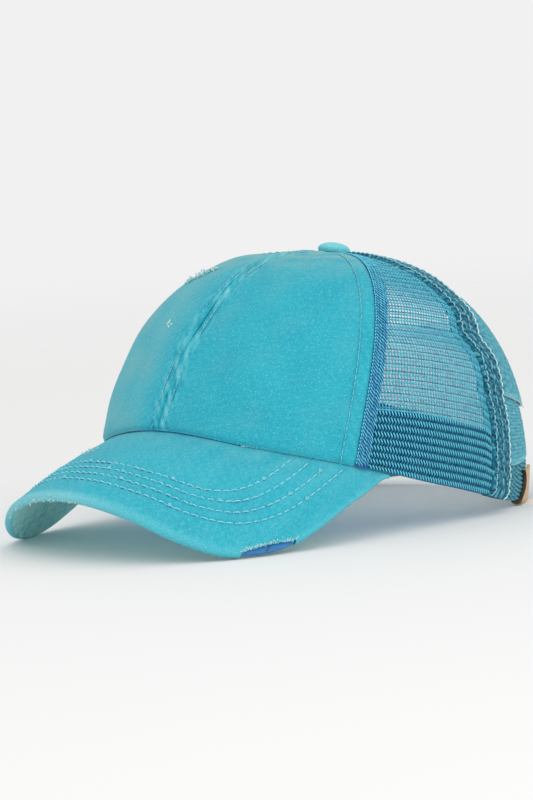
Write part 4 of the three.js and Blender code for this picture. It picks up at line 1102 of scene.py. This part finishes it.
def band_line(line, left_climb, right_climb, layer, cup, stations):
    """One line along a band, from -1 at its lower edge to 1 at its upper: angles, climbs and lifts."""
    def climb_of(across, angle, span):
        middle = band_middle(across, left_climb, right_climb)
        slope = (band_middle(across + 0.01, left_climb, right_climb) - middle) / (0.01 * span)
        return middle + line * half_width_climb(angle, middle, slope)

    left, right = opening_angle(left_climb), opening_angle(right_climb)
    left_start = climb_of(np.array(0.0), left, 360 - left - right)
    right_start = climb_of(np.array(1.0), 360 - right, 360 - left - right)
    left_hem, right_hem = opening_angle(left_start), opening_angle(right_start)
    angle, raised = across_the_back(left_hem, right_hem, left_start, right_start, stations)
    span = 360 - right_hem - left_hem
    across = (angle - left_hem) / span
    from_low = 1 - across if left_climb > right_climb else across
    cupped = cup * line * np.cos(from_low * math.pi) ** 3
    lift = TUCKED_LIFT + (BAND_STAND_OUT - cupped - TUCKED_LIFT) * raised - layer * (BAND_WALL + 2 * GAP)
    sag = BAND_DROP * max(-line, 0) * np.clip(1 - from_low / 0.3, 0, 1)
    return angle, climb_of(across, angle, span) - sag, lift


def elastic_band(name, node, left_climb, right_climb, layer, cup, seed):
    """A band from one hem to the other, on the layer above or below, with its fluffed edges."""
    lines = np.linspace(-1, 1, BAND_ROWS)
    places = [band_line(line, left_climb, right_climb, layer, cup, BAND_STATIONS) for line in lines]
    angles, climbs, lift = (np.array(part) for part in zip(*places))
    over = lines[:, None] * BAND_WIDTH / 2
    run = length_along(crown_point(angles, climbs))
    wander = over + 0.3 * crumple(run, over, 26, seed)
    rib = np.cos(wander * 2 * math.pi / RIB_PITCH)
    broken = crumple(run * 0.5, over, 2.4, seed + 1)
    rib = rib * (0.65 + 0.5 * crumple(run * 0.7, over, 5, seed + 4))
    outer = on_crown(angles, climbs, lift + RIB_RELIEF * rib - 0.14 + 0.1 * broken)
    inner = on_crown(angles, climbs, lift - BAND_WALL - 0.16 * rib + 0.16)
    flat = np.stack([run, over + 0 * run], -1)
    frayed_edge = 0.5 * bell(np.abs(over) - BAND_WIDTH / 2, 1.5)
    band = shell(name, outer, inner, flat, 0.22 + 0.3 * rib + 0.3 * broken + frayed_edge, ELASTIC,
                 crease=80, lining=1)
    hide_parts(node)
    random = np.random.default_rng(seed + 2)
    row = random.choice([0, 1, -2, -1], FLUFF_YARNS)
    column = random.integers(24, 86, FLUFF_YARNS)
    ends = outer[row, column]
    aside = crown_normal(angles[row, column], climbs[row, column])
    away = np.where(np.isin(row, [0, 1]), -0.6, 0.6)[:, None] * np.array([0, 0, 1.0])
    yarns = frayed(ends, aside * 0.5 + away, FLUFF_LENGTH, seed + 3)
    fluff = threads(f"{name}_fluff", yarns, FLUFF_YARN, 4, FRAYED_YARN)


# The near-white inside is undyed elastic and also painted light: seen through the net holes, it stands for
# the light that shows through them.
ELASTIC = ribbed_elastic("ribbed_knitted_elastic", "#70b8c4", "#267a90", "#fdf3f0")
elastic_band("elastic_band_over_knit", "elastic_band_over",
             BAND_HIGH_CLIMB, BAND_LOW_CLIMB, layer=0, cup=0, seed=100)
elastic_band("elastic_band_under_knit", "elastic_band_under",
             BAND_LOW_CLIMB, BAND_HIGH_CLIMB, layer=1, cup=BAND_CUP, seed=110)

# Back strap
# A narrow woven elastic along the lower edge of the opening, darker than the bands, sewn inside both
# hems. Its ribs fan down from the hems, where it is gathered.

STRAP_WIDTH = 15.5
STRAP_WALL = 1.3
STRAP_SINK = 0.6
STRAP_RIB = 1.9
STRAP_FAN = 9
STRAP_FAN_REACH = 12
STRAP_ROWS = 49
STRAP_STATIONS = 200
STRAP_ELASTIC = ribbed_elastic("woven_strap_elastic", "#66b0bc", "#14506a", "#5fabb8")

edge = opening_angle(0)
angle, raised = across_the_back(edge, edge, 0, 0, STRAP_STATIONS)
heights = np.linspace(0, STRAP_WIDTH, STRAP_ROWS)
lift = TUCKED_LIFT + (-STRAP_SINK - TUCKED_LIFT) * raised[None]
run = length_along(on_wall(angle, 0 * angle + STRAP_WIDTH / 2, 0 * angle))
from_hem = np.clip(np.minimum(run, run[-1] - run) - TUCK, 0, None)
fanned = STRAP_FAN * np.exp(-from_hem / STRAP_FAN_REACH)
ragged = 0.25 * crumple(run[None] + 0 * heights[:, None], heights[:, None] + 0 * run, 3, 120)
rib = np.cos((heights[:, None] - fanned + ragged) * 2 * math.pi / STRAP_RIB)
outer = on_wall(angle[None], heights[:, None], lift + 0.2 * rib - 0.2)
inner = on_wall(angle[None], heights[:, None], lift - STRAP_WALL - 0.2 * rib + 0.2)
flat = np.stack([length_along(outer), heights[:, None] + 0 * angle], -1)
wear_and_shade = 0.15 + 0.38 * rib + ragged
strap = shell("back_strap_elastic", outer, inner, flat, wear_and_shade, STRAP_ELASTIC, crease=80, lining=1)
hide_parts("back_strap")

# Leather tab
# A piece of split cowhide folded round the strap behind the left hem. Its face is pale tan and its cut
# edge is painted dark brown, for the edge's own colour and for the painted shadow along the cut.

TAB_ANGLE = 131
TAB_WIDTH = 22
LEATHER_WALL = 1.4
LEATHER_ROWS = 12
LEATHER_LOWERED = 2.2
LEATHER_HOLLOW = 5
LEATHER_LOW_REACH = 2
LEATHER_HIGH_REACH = 1.5


def split_leather(name, face, crease, grit):
    """Vegetable-tanned split leather: a dull face with fine pores, dark where it is cut or creased; on the
    tab the dark cut edge is partly painted shadow.
    """
    material, tree, surface = new_material(name)
    place = add(tree, "ShaderNodeTexCoord", {}, {})
    pores = add(tree, "ShaderNodeTexVoronoi", {}, {"Vector": place.outputs["Object"], "Scale": grit})
    stain = add(tree, "ShaderNodeTexNoise", {},
                {"Vector": place.outputs["Object"], "Scale": 260.0, "Detail": 5.0})
    wear_and_shade_input = add(tree, "ShaderNodeAttribute", {"attribute_name": "wear_and_shade"}, {})
    shade = add(tree, "ShaderNodeMath", {"operation": "MULTIPLY_ADD", "use_clamp": True},
                {0: stain.outputs[0], 1: 0.3, 2: wear_and_shade_input.outputs["Fac"]})
    mixed = add(tree, "ShaderNodeMix", {"data_type": "RGBA"},
                {"Factor": shade.outputs[0], 6: linear(face), 7: linear(crease)})
    tree.links.new(mixed.outputs[2], surface.inputs["Base Color"])
    relief = add(tree, "ShaderNodeBump", {},
                 {"Strength": 0.35, "Distance": 0.0003, "Height": pores.outputs["Distance"]})
    tree.links.new(relief.outputs[0], surface.inputs["Normal"])
    surface.inputs["Roughness"].default_value = 0.6
    return material


LEATHER = split_leather("tan_split_leather", "#d3b791", "#3d2015", 1500.0)
over, under = -STRAP_SINK + GAP, -STRAP_SINK - STRAP_WALL - GAP
bottom = -GAP
turn = np.linspace(0, math.pi, 15)
middle, deep = (over + under) / 2, (over - under) / 2
straight = np.linspace(STRAP_WIDTH - LEATHER_LOWERED, bottom + deep * 0.2, LEATHER_ROWS)


def leather_fold(grow):
    """Heights and lifts round the fold of the leather, from its front to its back."""
    height = np.concatenate([straight, bottom - (deep * 0.2 + grow) * np.sin(turn[1:-1]), straight[::-1]])
    front, back = np.full(LEATHER_ROWS, over + grow), np.full(LEATHER_ROWS, under - grow)
    lift = np.concatenate([front, middle + (deep + grow) * np.cos(turn[1:-1]), back])
    return height, lift


half_turn = degrees_for(TAB_WIDTH / 2, TAB_ANGLE, 0)
across = np.linspace(-1, 1, 40)[:, None]
height, lift = leather_fold(LEATHER_WALL)
scooped = LEATHER_HOLLOW * np.sin(np.clip(height / STRAP_WIDTH, 0, 1) * math.pi)
scooped -= LEATHER_LOW_REACH * np.clip(1 - height / 5, 0, 1)
scooped -= LEATHER_HIGH_REACH * np.clip(height / 4 - 2.3, 0, 1)
scooped = scooped * (across < 0) * np.abs(across) ** 2
angle = TAB_ANGLE + across * half_turn + degrees_for(1, TAB_ANGLE, 0) * scooped
outer = on_wall(angle, height, lift)
inner = on_wall(angle, *leather_fold(0))
cut = np.linspace(-1, 1, 40)[:, None] + 0 * outer[..., 0]
# The cut edges are painted dark: the leather's own dark cut edge, and painted shadow along it.
wear_and_shade = np.where(np.abs(cut) > 0.9, 0.8, 0.0)
flat = np.stack([cut * TAB_WIDTH / 2, length_along(outer)], -1)
tab = shell("leather_tab_hide", outer, inner, flat, wear_and_shade, LEATHER, crease=40)
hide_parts("leather_tab")

# Button
# A metal blank covered with the same cotton and riveted through the top, where all the panels meet.

BUTTON_HEIGHT = 4.6
BUTTON_EDGE = 1.5
BUTTON_SEAT = 0.6 + GAP
BUTTON_COTTON = washed_cotton("button_cotton", "#3ab4ca", "#64d6e2", "#c4ecec")

radius = BUTTON_DIAMETER / 2
rise = np.linspace(0, 1, 26)
lower_r = radius - BUTTON_EDGE / 2 + BUTTON_EDGE / 2 * np.sin(rise * math.pi / 2)
ring_r = np.concatenate([[0.01, radius * 0.5], lower_r[::5], radius * np.cos(rise[1:] * math.pi / 2)])
upper_z = BUTTON_EDGE + (BUTTON_HEIGHT - BUTTON_EDGE) * np.sin(rise[1:] * math.pi / 2)
ring_z = np.concatenate([[0, 0], BUTTON_EDGE * rise[::5], upper_z])
ring_r[-1] = 0.01
turn = np.linspace(0, 2 * math.pi, 97)
fold = 1 + 0.012 * np.sin(turn * 9) * np.clip(ring_r[:, None] / radius, 0, 1) ** 4
x = ring_r[:, None] * np.sin(turn) * fold
y = -TOP_FORWARD - ring_r[:, None] * np.cos(turn) * fold
z = CROWN_HEIGHT + BUTTON_SEAT + ring_z[:, None] + 0 * turn
points = np.stack([x, y, z], -1)[:, :-1]
rows, count = points.shape[:2]
at = np.arange(rows * count).reshape(rows, count)
after = np.roll(at, -1, 1)
faces = np.stack([at[:-1], after[:-1], after[1:], at[1:]], -1).reshape(-1, 4)
flat = points.reshape(-1, 3)[:, :2]
wear_and_shade = 0.25 * np.clip(ring_z[:, None] / BUTTON_HEIGHT, 0, 1) ** 3 + 0 * turn[:-1]
button = show("crown_button_cloth", points.reshape(-1, 3), faces, flat, wear_and_shade.reshape(-1), 0.3, BUTTON_COTTON)
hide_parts("crown_button")

# Floor, light and camera
# The cap stands on a pale studio floor under soft light, seen from its left front.

SKY_STRENGTH = 0.88
FLOOR_RINGS = (0.3, 0.6, 1.0, 1.7)


def studio_floor():
    """Matt pale paper. It fades into the surroundings far out, so that no horizon shows."""
    material, tree, surface = new_material("pale_floor_paper")
    surface.inputs["Base Color"].default_value = linear("#f1f1f0")
    surface.inputs["Roughness"].default_value = 0.9
    place = add(tree, "ShaderNodeTexCoord", {}, {})
    far = add(tree, "ShaderNodeVectorMath", {"operation": "LENGTH"}, {0: place.outputs["Object"]})
    reach = {"Value": far.outputs["Value"], "From Min": 0.45, "From Max": 1.6, "To Min": 1.0, "To Max": 0.0}
    fade = add(tree, "ShaderNodeMapRange", {"interpolation_type": "SMOOTHSTEP"}, reach)
    tree.links.new(fade.outputs[0], surface.inputs["Alpha"])
    return material


turn = np.linspace(0, 2 * math.pi, 65)[:-1]
disc = bpy.data.meshes.new("floor")
points = [(r * math.cos(t), r * math.sin(t), 0) for r in FLOOR_RINGS for t in turn]
count = len(turn)
rim_quads = []
for near in range(0, (len(FLOOR_RINGS) - 1) * count, count):
    for i in range(count):
        after = (i + 1) % count
        rim_quads.append((near + i, near + after, near + count + after, near + count + i))
disc.from_pydata(points, [], [tuple(range(count))] + rim_quads)
floor = bpy.data.objects.new("floor", disc)
bpy.context.scene.collection.objects.link(floor)
disc.materials.append(studio_floor())

world = bpy.data.worlds.new("studio")
bpy.context.scene.world = world
world.use_nodes = True
world.node_tree.nodes["Background"].inputs["Color"].default_value = (1, 1, 1, 1)
world.node_tree.nodes["Background"].inputs["Strength"].default_value = SKY_STRENGTH


def softbox(name, azimuth, elevation, distance, size, power):
    """A round soft light aimed at the crown, at degrees from the front towards the left and up."""
    lamp = bpy.data.lights.new(name, "AREA")
    lamp.shape, lamp.size, lamp.energy = "DISK", size, power
    light = bpy.data.objects.new(name, lamp)
    a, e = math.radians(azimuth), math.radians(elevation)
    toward = Vector((math.sin(a) * math.cos(e), -math.cos(a) * math.cos(e), math.sin(e)))
    light.location = toward * distance + Vector((0, 0, 0.06))
    light.rotation_euler = toward.to_track_quat("Z", "Y").to_euler()
    bpy.context.scene.collection.objects.link(light)


softbox("key_softbox", 20, 55, 1.4, 1.4, 2.5)
softbox("fill_softbox", 95, 25, 1.6, 1.4, 3)
softbox("low_softbox", 68, 5, 1.2, 0.3, 1.1)

# A white floor throws light up into the crown, and this faint lamp adds to it.
card = bpy.data.lights.new("card_under_cap", "AREA")
card.shape, card.size, card.energy = "DISK", 0.07, 0.05
under_cap = bpy.data.objects.new("card_under_cap", card)
under_cap.location = (0, 0.03, 0.004)
under_cap.rotation_euler = (math.pi, 0, 0)
bpy.context.scene.collection.objects.link(under_cap)

# The camera that fits the photo: degrees and metres, then pixels of its frame.
PHOTO_AZIMUTH = 45.908
PHOTO_ELEVATION = 2.640
PHOTO_DISTANCE = 1.9194
PHOTO_TILT = 7.845
PHOTO_FOCUS = 4357.6
PHOTO_CENTRE = (314.09, 387.60)
IMAGE = (533, 800)

a, e = math.radians(PHOTO_AZIMUTH), math.radians(PHOTO_ELEVATION)
back = Vector((math.sin(a) * math.cos(e), -math.cos(a) * math.cos(e), math.sin(e)))
right = Vector((math.cos(a), math.sin(a), 0))
upward = right.cross(-back)
stands = back * PHOTO_DISTANCE + Vector((0, 0, 0.04))
upright = Matrix.Rotation(math.radians(PHOTO_TILT), 4, "X")
looks = -back + right * ((IMAGE[0] / 2 - PHOTO_CENTRE[0]) / PHOTO_FOCUS)
looks = looks - upward * ((IMAGE[1] / 2 - PHOTO_CENTRE[1]) / PHOTO_FOCUS)
to_scene = level @ upright
turn3 = to_scene.to_3x3()
z_axis = -(turn3 @ looks).normalized()
x_axis = (turn3 @ upward).cross(z_axis).normalized()
y_axis = z_axis.cross(x_axis)
lens = bpy.data.cameras.new("camera")
lens.sensor_fit = "HORIZONTAL"
lens.sensor_width = 36
lens.lens = PHOTO_FOCUS * 36 / IMAGE[0]
lens.clip_start, lens.clip_end = 0.1, 50
camera = bpy.data.objects.new("camera", lens)
facing = Matrix((x_axis, y_axis, z_axis)).transposed().to_4x4()
camera.matrix_world = Matrix.Translation(to_scene @ stands) @ facing
bpy.context.scene.collection.objects.link(camera)
bpy.context.scene.camera = camera
bpy.context.scene.view_settings.view_transform = "Standard"
